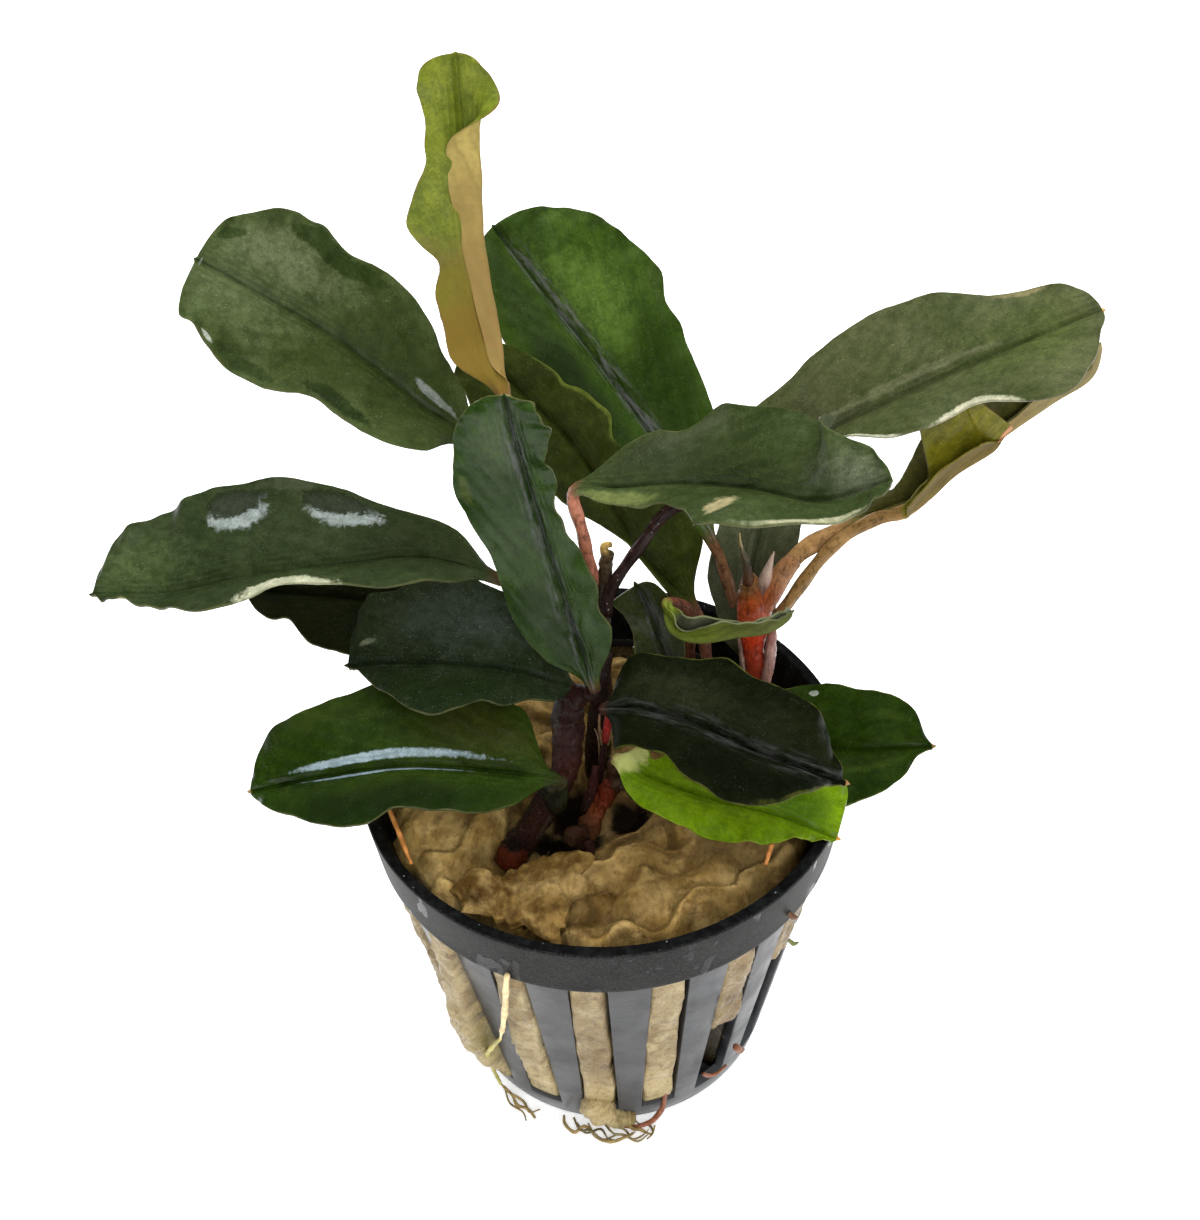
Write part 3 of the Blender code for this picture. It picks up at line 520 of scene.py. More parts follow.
# Many marks below are painted light: the pale grey, white and bluish ones are painted highlights,
# sheens and reflections, and a few dark ones painted shadow; the rest are the leaves' own patches.
LOOKS = {
    "leaf_tall": dict(
        tone=(0.86, 0.92, 0.7), colour=(0.225, 0.24, 0.03), second=(0.15, 0.175, 0.022),
        base=(0.2, 0.125, 0.026), base_reach=0.36, edge=(0.16, 0.075, 0.025),
        under=(0.45, 0.35, 0.11), under_base=(0.27, 0.175, 0.06), petiole=(0.26, 0.1, 0.04),
        gloss=0.42, midrib=0.2,
    ),
    "leaf_upper_left": dict(
        tone=(0.84, 0.8, 0.68), colour=(0.036, 0.056, 0.015), second=(0.066, 0.096, 0.034),
        petiole=(0.06, 0.03, 0.02), gloss=0.38, midrib=0.35,
        # The first two marks are a painted sheen, the dark torn ones wet patches, and the last
        # three painted glints.
        marks=(Mark(0.66, 0.1, 0.26, 0.7, (0.098, 0.134, 0.062), 0.75, soft=0.9),
               Mark(0.56, -0.52, 0.24, 0.35, (0.135, 0.165, 0.095), 0.8, 0.2, 0.9),
               Mark(0.15, -0.1, 0.2, 0.9, (0.026, 0.042, 0.01), soft=0.8),
               Mark(0.78, -0.66, 0.09, 0.12, (0.03, 0.048, 0.012), 0.8, 0.16, 0.25),
               Mark(0.42, -0.84, 0.15, 0.13, (0.02, 0.034, 0.008), 0.85, 0.14, 0.25),
               Mark(0.25, 0.84, 0.09, 0.12, (0.018, 0.03, 0.008), 0.85, 0.14, 0.25),
               Mark(0.5, 0.88, 0.1, 0.08, (0.026, 0.04, 0.012), 0.8, 0.16, 0.25),
               Mark(0.88, -0.02, 0.012, 0.12, (0.34, 0.38, 0.32), 0.7, 0.2, 0.3),
               Mark(0.65, 0.92, 0.035, 0.04, (0.36, 0.38, 0.32), 0.8, 0.2, 0.3),
               Mark(0.1, -0.3, 0.05, 0.1, (0.24, 0.26, 0.24), 0.7, 0.2, 0.3)),
    ),
    "leaf_upper_back": dict(
        tone=(0.9, 0.86, 0.55), colour=(0.024, 0.05, 0.008), second=(0.04, 0.076, 0.014),
        highlight_streak=0.12, gloss=0.36, midrib=0.9, petiole=(0.085, 0.04, 0.018),
        marks=(Mark(0.46, -0.34, 0.2, 0.3, (0.085, 0.15, 0.034), 0.85, soft=0.8),
               Mark(0.6, -0.75, 0.22, 0.25, (0.05, 0.095, 0.016), 0.6, soft=0.8),
               Mark(0.24, -0.45, 0.12, 0.6, (0.01, 0.024, 0.002)),
               Mark(0.55, 0.55, 0.35, 0.35, (0.024, 0.042, 0.018), soft=0.8),
               Mark(0.34, 0.75, 0.16, 0.45, (0.01, 0.02, 0.006), 0.9)),
    ),
    "leaf_front_right": dict(
        tone=(0.82, 0.8, 0.7), colour=(0.034, 0.054, 0.016), second=(0.054, 0.08, 0.028),
        petiole=(0.34, 0.13, 0.08), gloss=0.32, midrib=0.3, under=(0.075, 0.09, 0.045),
        # The first mark is a painted sheen towards the tip, and the third a painted highlight along
        # the margin; the orange-tan one is a blemish.
        marks=(Mark(0.76, 0.3, 0.16, 0.6, (0.165, 0.19, 0.13), 0.8, 0.25, 0.9),
               Mark(0.2, 0.78, 0.1, 0.2, (0.09, 0.105, 0.06), 0.7, soft=0.8),
               Mark(0.62, -0.93, 0.14, 0.1, (0.52, 0.52, 0.38), 0.8, 0.25, 0.5),
               Mark(0.14, 0.6, 0.14, 0.5, (0.042, 0.056, 0.028), soft=0.8),
               Mark(0.08, -0.8, 0.12, 0.35, (0.19, 0.23, 0.08), 0.7, soft=0.6),
               Mark(0.38, -0.62, 0.045, 0.24, (0.42, 0.36, 0.19), 0.95, 0.3, 0.35),
               Mark(0.36, 0.15, 0.16, 0.5, (0.026, 0.04, 0.012), 0.6, soft=0.8)),
    ),
    "leaf_centre": dict(
        tone=(0.66, 0.76, 0.44), colour=(0.026, 0.052, 0.011), second=(0.048, 0.08, 0.024),
        highlight_streak=0.1, gloss=0.34, midrib=1,
        marks=(Mark(0.66, 0.3, 0.16, 0.45, (0.074, 0.104, 0.05), 0.75, 0.24, 0.8),
               Mark(0.94, 0.1, 0.08, 0.7, (0.03, 0.058, 0.012), soft=0.6),
               Mark(0.4, -0.45, 0.18, 0.35, (0.04, 0.08, 0.01), 0.7),
               Mark(0.12, 0.35, 0.12, 0.5, (0.015, 0.028, 0.008), 0.7),
               Mark(0.47, 0.85, 0.06, 0.1, (0.11, 0.125, 0.04), 0.7, soft=0.6)),
    ),
    "leaf_olive": dict(
        tone=(0.8, 0.8, 0.5), colour=(0.02, 0.028, 0.004), second=(0.034, 0.046, 0.009),
        edge=(0.1, 0.13, 0.02),
        marks=(Mark(0.45, -0.96, 0.16, 0.07, (0.12, 0.15, 0.03), 0.6, soft=0.6),),
    ),
    "leaf_left": dict(
        tone=(0.53, 0.53, 0.45), colour=(0.04, 0.062, 0.022), second=(0.06, 0.086, 0.034),
        petiole=(0.08, 0.025, 0.014), gloss=0.36, midrib=0.4,
        # The cream mark at the margin and the two pale grey ones are painted reflections of water;
        # each pale grey one lies beside the dark oval of a drop.
        marks=(Mark(0.1, -0.25, 0.12, 0.9, (0.028, 0.04, 0.014)),
               Mark(0.72, -0.2, 0.24, 0.6, (0.12, 0.175, 0.07), 0.6, soft=0.9),
               Mark(0.3, -0.93, 0.06, 0.1, (0.11, 0.13, 0.08), 0.7, soft=0.5),
               Mark(0.3, 0.94, 0.08, 0.34, (0.5, 0.5, 0.35), 0.95, 0.3, 0.3),
               Mark(0.385, -0.68, 0.06, 0.22, (0.3, 0.34, 0.33), 0.8, 0.15, 0.25),
               Mark(0.392, -0.77, 0.06, 0.17, (0.018, 0.024, 0.01), 0.95, 0.12, 0.2),
               Mark(0.205, -0.68, 0.06, 0.22, (0.3, 0.34, 0.33), 0.8, 0.15, 0.25),
               Mark(0.214, -0.78, 0.06, 0.17, (0.018, 0.024, 0.01), 0.95, 0.12, 0.2)),
    ),
    "leaf_left_under": dict(
        tone=(0.5, 0.5, 0.25), colour=(0.008, 0.011, 0.003), second=(0.014, 0.018, 0.005),
        gloss=0.5, specular=0.12,
    ),
    "leaf_middle_left": dict(
        tone=(0.74, 0.76, 0.62), colour=(0.01, 0.018, 0.007), second=(0.02, 0.03, 0.014),
        speck=3.4, gloss=0.34, midrib=0.7,
        # The bluish-grey mark is a painted sheen, and the small pale grey one a painted glint.
        marks=(Mark(0.36, -0.55, 0.26, 0.45, (0.046, 0.06, 0.055), 0.75, 0.24, 0.9),
               Mark(0.5, 0.65, 0.36, 0.5, (0.009, 0.019, 0.004), 0.9, 0.3),
               Mark(0.72, -0.3, 0.06, 0.05, (0.35, 0.36, 0.3), 0.4, 0.2, 0.5)),
    ),
    "leaf_lower_left": dict(
        tone=(0.6, 0.62, 0.34), colour=(0.02, 0.044, 0.004), second=(0.038, 0.07, 0.01),
        tip=(0.3, 0.2, 0.08), petiole=(0.02, 0.018, 0.006), gloss=0.3, midrib=0.7, specular=0.28,
        marks=(Mark(0.85, 0.2, 0.2, 0.9, (0.04, 0.085, 0.006), 0.7, soft=0.8),
               Mark(0.14, -0.5, 0.14, 0.5, (0.05, 0.052, 0.014), 0.7, soft=0.8),
               Mark(0.34, 0.75, 0.3, 0.5, (0.009, 0.022, 0.002), 0.9),
               # Two long painted highlights beside the midrib.
               Mark(0.37, -0.15, 0.25, 0.06, (0.3, 0.38, 0.42), 0.9, 0.12, 0.35),
               Mark(0.36, 0.09, 0.22, 0.045, (0.26, 0.33, 0.4), 0.9, 0.12, 0.35)),
    ),
    "leaf_lower_front": dict(
        tone=(0.32, 0.34, 0.22), colour=(0.01, 0.015, 0.005), second=(0.02, 0.025, 0.012),
        edge=(0.12, 0.13, 0.02), tip=(0.3, 0.16, 0.06), gloss=0.42, midrib=0.9, specular=0.12,
        highlight_streak=0.05,
        # The first and the fourth mark, both grey, are a painted sheen.
        marks=(Mark(0.38, 0.35, 0.26, 0.4, (0.038, 0.044, 0.03), 0.7, 0.26, 0.9),
               Mark(0.62, 0.55, 0.2, 0.4, (0.026, 0.034, 0.01), 0.6, soft=0.8),
               Mark(0.45, -0.6, 0.3, 0.35, (0.008, 0.011, 0.005), 0.85, soft=0.8),
               Mark(0.16, 0.35, 0.14, 0.5, (0.058, 0.066, 0.04), 0.7, soft=0.8),
               Mark(0.72, -0.95, 0.25, 0.14, (0.17, 0.18, 0.04), soft=0.5)),
    ),
    "leaf_lime": dict(
        tone=(1.1, 1.1, 0.7), colour=(0.145, 0.245, 0.004), second=(0.105, 0.185, 0.003),
        base=(0.38, 0.4, 0.2), base_reach=0.05, edge=(0.25, 0.3, 0.03), tip=(0.5, 0.25, 0.06),
        gloss=0.34, midrib=0.5,
        # The first mark is a painted shadow of the neighbouring leaf.
        marks=(Mark(0.58, 0.3, 0.2, 0.5, (0.05, 0.11, 0.002)),
               Mark(0.03, 0.6, 0.05, 0.5, (0.5, 0.51, 0.18), 0.9, soft=0.3)),
    ),
    "leaf_lower_right": dict(
        tone=(0.42, 0.46, 0.18), colour=(0.018, 0.042, 0.002), second=(0.036, 0.07, 0.006),
        edge=(0.12, 0.14, 0.03), tip=(0.2, 0.12, 0.05), gloss=0.32, midrib=0.5,
        # The three pale green stripes are a painted sheen, and the pale grey spot a painted glint.
        marks=(Mark(0.5, -0.42, 0.2, 0.1, (0.06, 0.1, 0.012), 0.6),
               Mark(0.62, 0.1, 0.16, 0.12, (0.055, 0.095, 0.01), 0.6),
               Mark(0.6, 0.6, 0.16, 0.12, (0.06, 0.1, 0.012), 0.6),
               Mark(0.25, 0.86, 0.02, 0.05, (0.36, 0.38, 0.32), 0.8, 0.2, 0.3)),
    ),
    "leaf_small": dict(
        tone=(0.62, 0.64, 0.46), colour=(0.024, 0.032, 0.008), second=(0.044, 0.056, 0.018),
        edge=(0.13, 0.14, 0.04), highlight_streak=0.05, gloss=0.34,
    ),
    "leaf_boat": dict(
        colour=(0.082, 0.09, 0.052), second=(0.06, 0.068, 0.036), base=(0.13, 0.17, 0.02),
        base_reach=0.12, edge=(0.2, 0.22, 0.1), under=(0.1, 0.112, 0.034),
        under_base=(0.14, 0.19, 0.02), gloss=0.36, midrib=0.4,
    ),
    "leaf_back": dict(
        colour=(0.046, 0.055, 0.026), second=(0.066, 0.076, 0.038), gloss=0.5, midrib=0.5,
    ),
    "leaf_big_right": dict(
        tone=(1.04, 0.93, 1.04), colour=(0.074, 0.092, 0.033), second=(0.05, 0.07, 0.02),
        tip=(0.42, 0.27, 0.08), tip_reach=0.045, under=(0.3, 0.3, 0.19),
        petiole=(0.014, 0.006, 0.005), stalk_specks=0.5, gloss=0.38, speck=1.5, midrib=0.35,
        marks=(Mark(0.66, 0.1, 0.22, 0.9, (0.078, 0.112, 0.026), 0.7, soft=0.9),
               Mark(0.16, 0.3, 0.12, 0.8, (0.05, 0.058, 0.022), 0.7, soft=0.8),
               Mark(0.36, 0.16, 0.22, 0.06, (0.13, 0.15, 0.07), 0.6, soft=0.6),
               Mark(0.62, 0.95, 0.1, 0.08, (0.26, 0.24, 0.1), 0.6, soft=0.6),
               Mark(0.43, -1, 0.09, 0.13, (0.5, 0.48, 0.34), 0.9, 0.3, 0.3),
               Mark(0.25, -1, 0.05, 0.1, (0.46, 0.46, 0.34), 0.9, 0.3, 0.3)),
    ),
    "leaf_gold": dict(
        colour=(0.19, 0.172, 0.01), second=(0.12, 0.112, 0.007), under=(0.15, 0.112, 0.04),
        edge=(0.24, 0.17, 0.05), tip=(0.55, 0.26, 0.14), tip_reach=0.015,
        petiole=(0.2, 0.115, 0.038), gloss=0.42, midrib=0.5,
    ),
    "leaf_under_right": dict(
        colour=(0.105, 0.098, 0.024), second=(0.07, 0.068, 0.018), under=(0.24, 0.2, 0.095),
        under_base=(0.3, 0.19, 0.06), petiole=(0.25, 0.14, 0.052), gloss=0.42, midrib=0.3,
    ),
}

LEAF_LOOKS = dict(
    tone=(1, 1, 1), colour=(0.03, 0.06, 0.02), second=(0.04, 0.08, 0.02), base=None,
    base_reach=0.25, tip=None, tip_reach=0.06, edge=(0.1, 0.1, 0.035), highlight_streak=0, midrib=0.6,
    under=(0.34, 0.34, 0.18), under_base=None, petiole=(0.1, 0.035, 0.02), stalk_specks=0,
    gloss=0.4, specular=0.22, speck=1, marks=(),
)


def leaf_rows(leaf):
    """Points and directions down the leaf, how far along the blade each is, and in millimetres.

    The third goes from 0 to 1 on the blade, and from -1 to 0 on the petiole.
    """
    t = np.linspace(0, len(leaf.path) - 1, PATH_SAMPLES)
    curve = spline(leaf.path, t)
    run = run_along(curve)
    foot = np.interp(leaf.petiole, t, run)
    share = np.linspace(0, 1, BLADE_ROWS + 1)
    at = foot + (run[-1] - foot) * share * (2 - share)
    if leaf.petiole:
        at = np.concatenate((np.linspace(0, foot, PETIOLE_ROWS + 1)[:-1], at))
        share = np.concatenate((np.linspace(-1, 0, PETIOLE_ROWS + 1)[:-1], share))

    def place(length):
        return np.stack([np.interp(length, run, curve[:, axis]) for axis in range(3)], axis=1)

    near = 0.25
    return place(at), unit(place(at + near) - place(at - near)), share, at - foot


def section_curve(half_width, fold, curl, columns, rolled_in):
    """Sideways and upward offsets and slope at each column of one half of the blade."""
    fine = np.linspace(0, 1, SECTION_STEPS + 1)
    turn = smooth_step((fine - 0.2) / 0.35) if rolled_in else fine**2
    slope = np.radians(fold + curl[:, None] * turn)
    at = columns * SECTION_STEPS
    low = np.minimum(np.floor(at).astype(int), SECTION_STEPS - 1)
    f = at - low

    def take(table):
        return table[:, low] * (1 - f) + table[:, low + 1] * f

    def offset(steps):
        run = np.cumsum((steps[:, 1:] + steps[:, :-1]) / 2, 1)
        run = np.concatenate((np.zeros((len(curl), 1)), run), 1)
        return half_width[:, None] * take(run) / SECTION_STEPS

    return offset(np.cos(slope)), offset(np.sin(slope)), take(slope)


def half_widths(leaf, sign, share, along, seed):
    """Half widths down the left half of a leaf, sign 1, or down its right half, sign -1."""
    widths = (BLADE_FOOT, *(leaf.left if sign > 0 else leaf.right), TIP_HALF_WIDTH)
    on_blade = np.maximum(share, 0.0)
    half_width = spline(widths, on_blade * (len(widths) - 1))
    for side, at, size, reach in leaf.bumps:
        if side == sign:
            half_width = half_width + size * bell((on_blade - at) / reach)
    line = np.stack((along, np.full(len(along), 7.0 * sign), np.zeros(len(along))), 1)
    ripple = leaf.ripple * fractal(line, 1.6, 3, seed) * smooth_step(share / 0.1)
    return np.maximum(half_width + ripple, TIP_HALF_WIDTH)


def make_leaf(name, leaf, seed):
    middle, ahead, share, along = leaf_rows(leaf)
    face = unit(LIGHT - (ahead @ LIGHT)[:, None] * ahead)
    side = np.cross(face, ahead)
    roll = math.radians(leaf.roll)
    up = math.cos(roll) * face + math.sin(roll) * side
    out = math.cos(roll) * side - math.sin(roll) * face
    rows, columns = len(share), len(SIDEWAYS)
    on_blade = np.maximum(share, 0.0)
    spread = smooth_step(share / 0.07)[:, None]
    if leaf.rolled_in:
        curl = leaf.curl * smooth_step((0.72 - share) / 0.26) * smooth_step(share / 0.06)
    else:
        curl = leaf.curl * smooth_step((0.85 - share) / 0.25) * smooth_step(share / 0.35)
    tilt = math.radians(leaf.fold[0] - leaf.fold[1]) / 2

    x, y, slope, width = np.zeros((4, rows, columns))
    for sign, fold in zip((1, -1), leaf.fold):
        half_width = half_widths(leaf, sign, share, along, seed)
        here = SIDEWAYS * sign >= 0
        curls = curl if sign < 0 else np.zeros(rows)
        half = section_curve(half_width, fold, curls, np.abs(SIDEWAYS[here]), leaf.rolled_in)
        x[:, here], y[:, here], slope[:, here] = half
        width[:, here] = half_width[:, None]
    reach = np.abs(SIDEWAYS)
    sign = np.where(SIDEWAYS >= 0, 1.0, -1.0)
    ease = smooth_step(reach / 0.06)
    slope = slope * ease + tilt * sign * (1 - ease)
    distance = reach * width

    # The surface: arched halves, a groove along the midrib, waves towards the margins.
    crown = leaf.arch * width * np.sin(math.pi * reach**0.75) * spread
    ends = smooth_step(share / 0.08) * smooth_step((1 - share) / 0.12)
    groove = leaf.groove * bell(distance / 0.32) * ends[:, None]
    wave = np.zeros((rows, columns))
    fading = smooth_step(share / 0.12) * smooth_step((1.02 - share) / 0.15)
    for half, (height, count, phase) in zip((1, -1), leaf.waves):
        rate = 2 * math.pi * count
        swing = np.sin(rate * on_blade + phase)
        swing = swing + 0.45 * np.sin(rate * 2.3 * on_blade + 2.1 * phase)
        wave += (SIDEWAYS * half > 0) * height * (swing * fading)[:, None] * reach**2.6
    grid = np.stack((along[:, None] + 0 * wave, distance * sign, 0 * wave), -1)
    calm = min(1.0, along[-1] / 25)
    pucker = fractal(grid.reshape(-1, 3), 3.2, 3, seed + 5).reshape(rows, columns)
    pucker = 0.16 * calm * pucker * reach**0.7 * spread
    lean = along[:, None] - VEIN_LEAN * distance
    veins = 0.03 * calm * np.sin(2 * math.pi * lean / VEIN_PITCH)
    rise = crown + wave + pucker + veins * np.sin(math.pi * reach) * spread

    thick = np.minimum(LEAF_THICKNESS, width) * (1 - 0.42 * reach**2)
    x = x * sign
    normal_x, normal_y = -np.sin(slope) * sign, np.cos(slope)
    ends = smooth_step((1 - share) / 0.3) * smooth_step(share / 0.1)
    rib = 0.28 * bell(distance / 0.55) * ends[:, None]
    swept = leaf.sweep * spread * np.where(SIDEWAYS > 0, SIDEWAYS, 0.0) ** 2
    stalk = leaf.stalk * (1 + 0.08 * np.sin(along * 1.3))[:, None]
    loops = []
    for way, offset in ((1, leaf.lift * thick - groove), (-1, (leaf.lift - 1) * thick - rib)):
        turn = tilt + way * math.pi / 2 * (1 - SIDEWAYS * 0.97)
        sx, sy = stalk * np.cos(turn), stalk * np.sin(turn)
        px = sx + spread * (x + normal_x * (rise + offset) - sx)
        py = sy + spread * (y + normal_y * (rise + offset) - sy)
        loop = middle[:, None] + px[..., None] * out[:, None] + py[..., None] * up[:, None]
        loops.append(loop + swept[..., None] * ahead[:, None])
    loop = np.concatenate((loops[0], loops[1][:, ::-1]), 1)

    # The tip: a short point that narrows to nothing.
    last = loop[-1]
    centre = last.mean(0)
    tip = ahead[-1] * leaf.tip_length
    steps = [k / (TIP_ROWS + 0.4) for k in range(1, TIP_ROWS + 1)]
    more = [centre + (last - centre) * (1 - f) ** 0.8 + tip * f for f in steps]
    loop = np.concatenate((loop, more))
    all_rows, sides = loop.shape[:2]
    points = np.concatenate((loop.reshape(-1, 3), (middle[0], centre + tip)))
    # The columns run from the right margin to the left along the top, and back underneath.
    faces = [corners[::-1] for corners in tube_faces(all_rows, sides)]
    under = [int(columns <= j < sides - 1) for j in range(sides)] * (all_rows - 1)
    under += [0] * (2 * sides)

    across = np.concatenate((SIDEWAYS, SIDEWAYS[::-1]))
    share_all, along_all, width_all = (
        np.concatenate((values, np.repeat(values[-1:], TIP_ROWS, 0)))
        for values in (share, along, width)
    )
    width_all = np.concatenate((width_all, width_all[:, ::-1]), 1)
    zeros = np.zeros((all_rows, sides))
    blade = np.stack((share_all[:, None] + zeros, across + zeros, zeros), -1).reshape(-1, 3)
    inward = (1 - np.abs(across)) * width_all
    flat = np.stack((along_all[:, None] + zeros, across * width_all, inward), -1).reshape(-1, 3)
    looks = {**LEAF_LOOKS, **LOOKS[name]}
    materials = [leaf_top_material(name, looks), leaf_under_material(name + "_under", looks)]
    obj = mesh_object(name + "_blade", points, faces, materials, under, (name,))
    store(obj, "blade", np.concatenate((blade, ((share[0], 0, 0), (1, 0, 0)))))
    store(obj, "flat", np.concatenate((flat, ((along[0], 0, 0.5), (along[-1], 0, 0.2)))))


def times(colour, factor, plus=0.0):
    return tuple(min(1.0, factor * c + plus) for c in colour)


def toned(colour, tone):
    return tuple(c * share for c, share in zip(colour, tone))


def stalk_colour(g, looks):
    """The petiole: long dark streaks over its colour, and pale scales painted partly as glints of
    light.
    """
    base = looks["petiole"]
    grain = g.noise(0.5, 4, 0.65, g.stretch((1, 1, 0.35)), 0.8)
    colour = g.mix(g.fade(grain, 0.45, 0.66), times(base, 1.25), times(base, 0.55))
    colour = g.mix(g.fade(g.noise(1.6, 3), 0.52, 0.68, 0.0, 0.6), colour, times(base, 1.9, 0.01))
    flake_glints = g.fade(g.cells(0.5), 0.2, 0.08) * g.fade(g.noise(1.3), 0.46, 0.56)
    return g.mix(flake_glints * (0.12 + looks["stalk_specks"]), colour, (0.55, 0.50, 0.44))


def vein_waves(g, along, distance, wander):
    """Veins that leave the midrib at a shallow angle and run on towards the tip."""
    lean = along - distance * VEIN_LEAN + g.noise(5) * wander
    return g.math("SINE", lean * (2 * math.pi / VEIN_PITCH))


def leaf_top_material(name, looks):
    g = Graph(name)
    share, across, _ = g.read("blade")
    along, off, margin = g.read("flat")
    distance = g.math("ABSOLUTE", off)
    tone = looks["tone"]
    patches = g.noise(9, 4, 0.62) * 0.6 + g.noise(2.4, 4, 0.7) * 0.4
    first, second = toned(looks["colour"], tone), toned(looks["second"], tone)
    colour = g.mix(g.fade(patches, 0.40, 0.60), first, second)
    gloss = looks["gloss"]
    rough = g.fade(g.noise(5, 4, 0.6), 0.36, 0.62, gloss - 0.10, gloss + 0.10)
    # Large soft marks: paler or darker regions, wet patches, and painted highlights, sheens and
    # shadows.
    ragged = (g.noise(2.2, 5, 0.7) - 0.5) * 1.3
    torn = g.noise(0.9, 4, 0.65, None, 1.0) - 0.5
    for mark in looks["marks"]:
        sharp = mark.soft < 0.4
        u, v = (share - mark.share) / mark.long, (across - mark.across) / mark.wide
        away = g.math("SQRT", u * u + v * v) + (torn if sharp else ragged)
        inside = g.fade(away, 1.0 + 0.3 * mark.soft, 1.0 - mark.soft)
        shade = mark.colour if sharp else toned(mark.colour, tone)
        colour = g.mix(inside * mark.strength, colour, shade)
        if mark.gloss:
            rough = rough * (1.0 - inside) + inside * mark.gloss
    vein = vein_waves(g, along, distance, 3.0)
    deep = g.mix(1.0, colour, (0.45, 0.50, 0.45), "MULTIPLY")
    colour = g.mix(g.fade(vein, 0.5, 1.0) * g.fade(distance, 0.4, 1.2) * 0.22, colour, deep)
    # Fine mottling and dark grains, and fine lines beside the midrib.
    colour = g.mix(g.fade(g.noise(1.1, 4, 0.75), 0.40, 0.64, 0.0, 0.6), colour, deep)
    grain = g.noise(0.28, 3, 0.8)
    colour = g.mix(g.fade(grain, 0.50, 0.36, 0.0, 0.55), colour, deep)
    lines = g.math("SINE", off * (2 * math.pi / 0.55) + g.noise(2.5, 3) * 6.0)
    near = g.fade(distance, 3.2, 0.4) * g.fade(g.noise(3.0, 3), 0.35, 0.6)
    colour = g.mix(g.fade(lines, 0.1, 1.0) * near * 0.5, colour, deep)
    # Pale specks of single cells, painted brighter and silvery as glints of light.
    drifts = g.fade(g.noise(1.8, 4, 0.7), 0.42, 0.62, 0.15, 1.0)
    specks = g.fade(g.noise(0.15, 2, 0.6), 0.60, 0.70) * drifts
    glint_colour = g.mix(1.0, colour, (2.6, 2.5, 2.9), "MULTIPLY")
    glint_colour = g.mix(0.13 * looks["speck"], glint_colour, (0.22, 0.25, 0.24))
    colour = g.mix(specks * 0.7, colour, glint_colour)
    # The midrib: a dark channel of painted shade in its groove, broken here and there, with painted
    # silvery highlights streaked beside it, and soft painted shade along it.
    if looks["highlight_streak"]:
        drawn_out = g.join(along * (0.14 * MM), off * MM, 0.0)
        beside = g.fade(distance, 1.5, 0.4) * g.fade(g.noise(0.7, 5, 0.75, drawn_out), 0.46, 0.60)
        beside = beside * g.fade(share, 0.98, 0.7)
        colour = g.mix(beside * 0.75, colour, (looks["highlight_streak"],) * 3)
    broken = g.fade(g.noise(3.5, 3, 0.6), 0.36, 0.56, 0.6, 1.0)
    groove_shade = g.fade(distance, 0.26, 0.08) * g.fade(share, 1.0, 0.85) * broken
    colour = g.dim(groove_shade * (0.65 * looks["midrib"]), colour, (0.20, 0.23, 0.20))
    shade = g.fade(distance, 1.6, 0.2) * g.fade(g.noise(3.2, 4, 0.6), 0.35, 0.6, 0.2, 0.6)
    colour = g.dim(shade * looks["midrib"], colour, (0.55, 0.60, 0.55))
    if looks["base"]:
        reach = looks["base_reach"]
        wander = share + (g.noise(5) - 0.5) * 0.3
        colour = g.mix(g.fade(wander, reach, reach * 0.35), colour, toned(looks["base"], tone))
    if looks["tip"]:
        reach = looks["tip_reach"]
        colour = g.mix(g.fade(share, 1 - reach, 1 - 0.3 * reach), colour, looks["tip"])
    thin = g.fade(g.noise(2.5, 3), 0.35, 0.65, 0.0, 0.12)
    rim = (1.0 - g.fade(margin - thin, -0.08, 0.06)) * g.fade(share, 0.02, 0.12)
    colour = g.mix(rim * 0.5, colour, looks["edge"])
    colour = g.mix(g.fade(share, 0.03, -0.02), colour, stalk_colour(g, looks))
    normal = g.bump(specks * 0.9 + grain * 1.4, 0.022)
    normal = g.bump(g.noise(1.6, 4, 0.6), 0.08, 0.7, normal)
    normal = g.bump(lines * near, 0.03, 0.6, normal)
    normal = g.bump(vein, 0.05, 0.6, normal)
    return g.finish(colour, rough, normal, Specular_IOR_Level=looks["specular"])


def leaf_under_material(name, looks):
    g = Graph(name)
    share, _, _ = g.read("blade")
    along, off, _ = g.read("flat")
    distance = g.math("ABSOLUTE", off)
    pale = looks["under"]
    colour = g.mix(g.fade(g.noise(4, 4, 0.6), 0.38, 0.62), pale, times(pale, 0.72))
    if looks["under_base"]:
        wander = share + (g.noise(5) - 0.5) * 0.3
        colour = g.mix(g.fade(wander, 0.6, 0.12), colour, looks["under_base"])
    vein = vein_waves(g, along, distance, 2.5)
    colour = g.mix(g.fade(vein, 0.4, 1.0, 0.0, 0.35), colour, times(pale, 0.55))
    colour = g.mix(g.fade(g.noise(0.6, 3, 0.65), 0.42, 0.7, 0.0, 0.4), colour, times(pale, 0.5))
    colour = g.mix(g.fade(distance, 0.8, 0.3, 0.0, 0.35), colour, times(pale, 1.2))
    colour = g.mix(g.fade(share, 0.05, -0.02), colour, stalk_colour(g, looks))
    normal = g.bump(g.noise(0.5, 3) + vein * 0.3, 0.04)
    return g.finish(colour, 0.55, normal, Specular_IOR_Level=0.01)


# ---------------------------------------------------------------- stems and roots

BLACK_BROWN = (0.008, 0.004, 0.003)
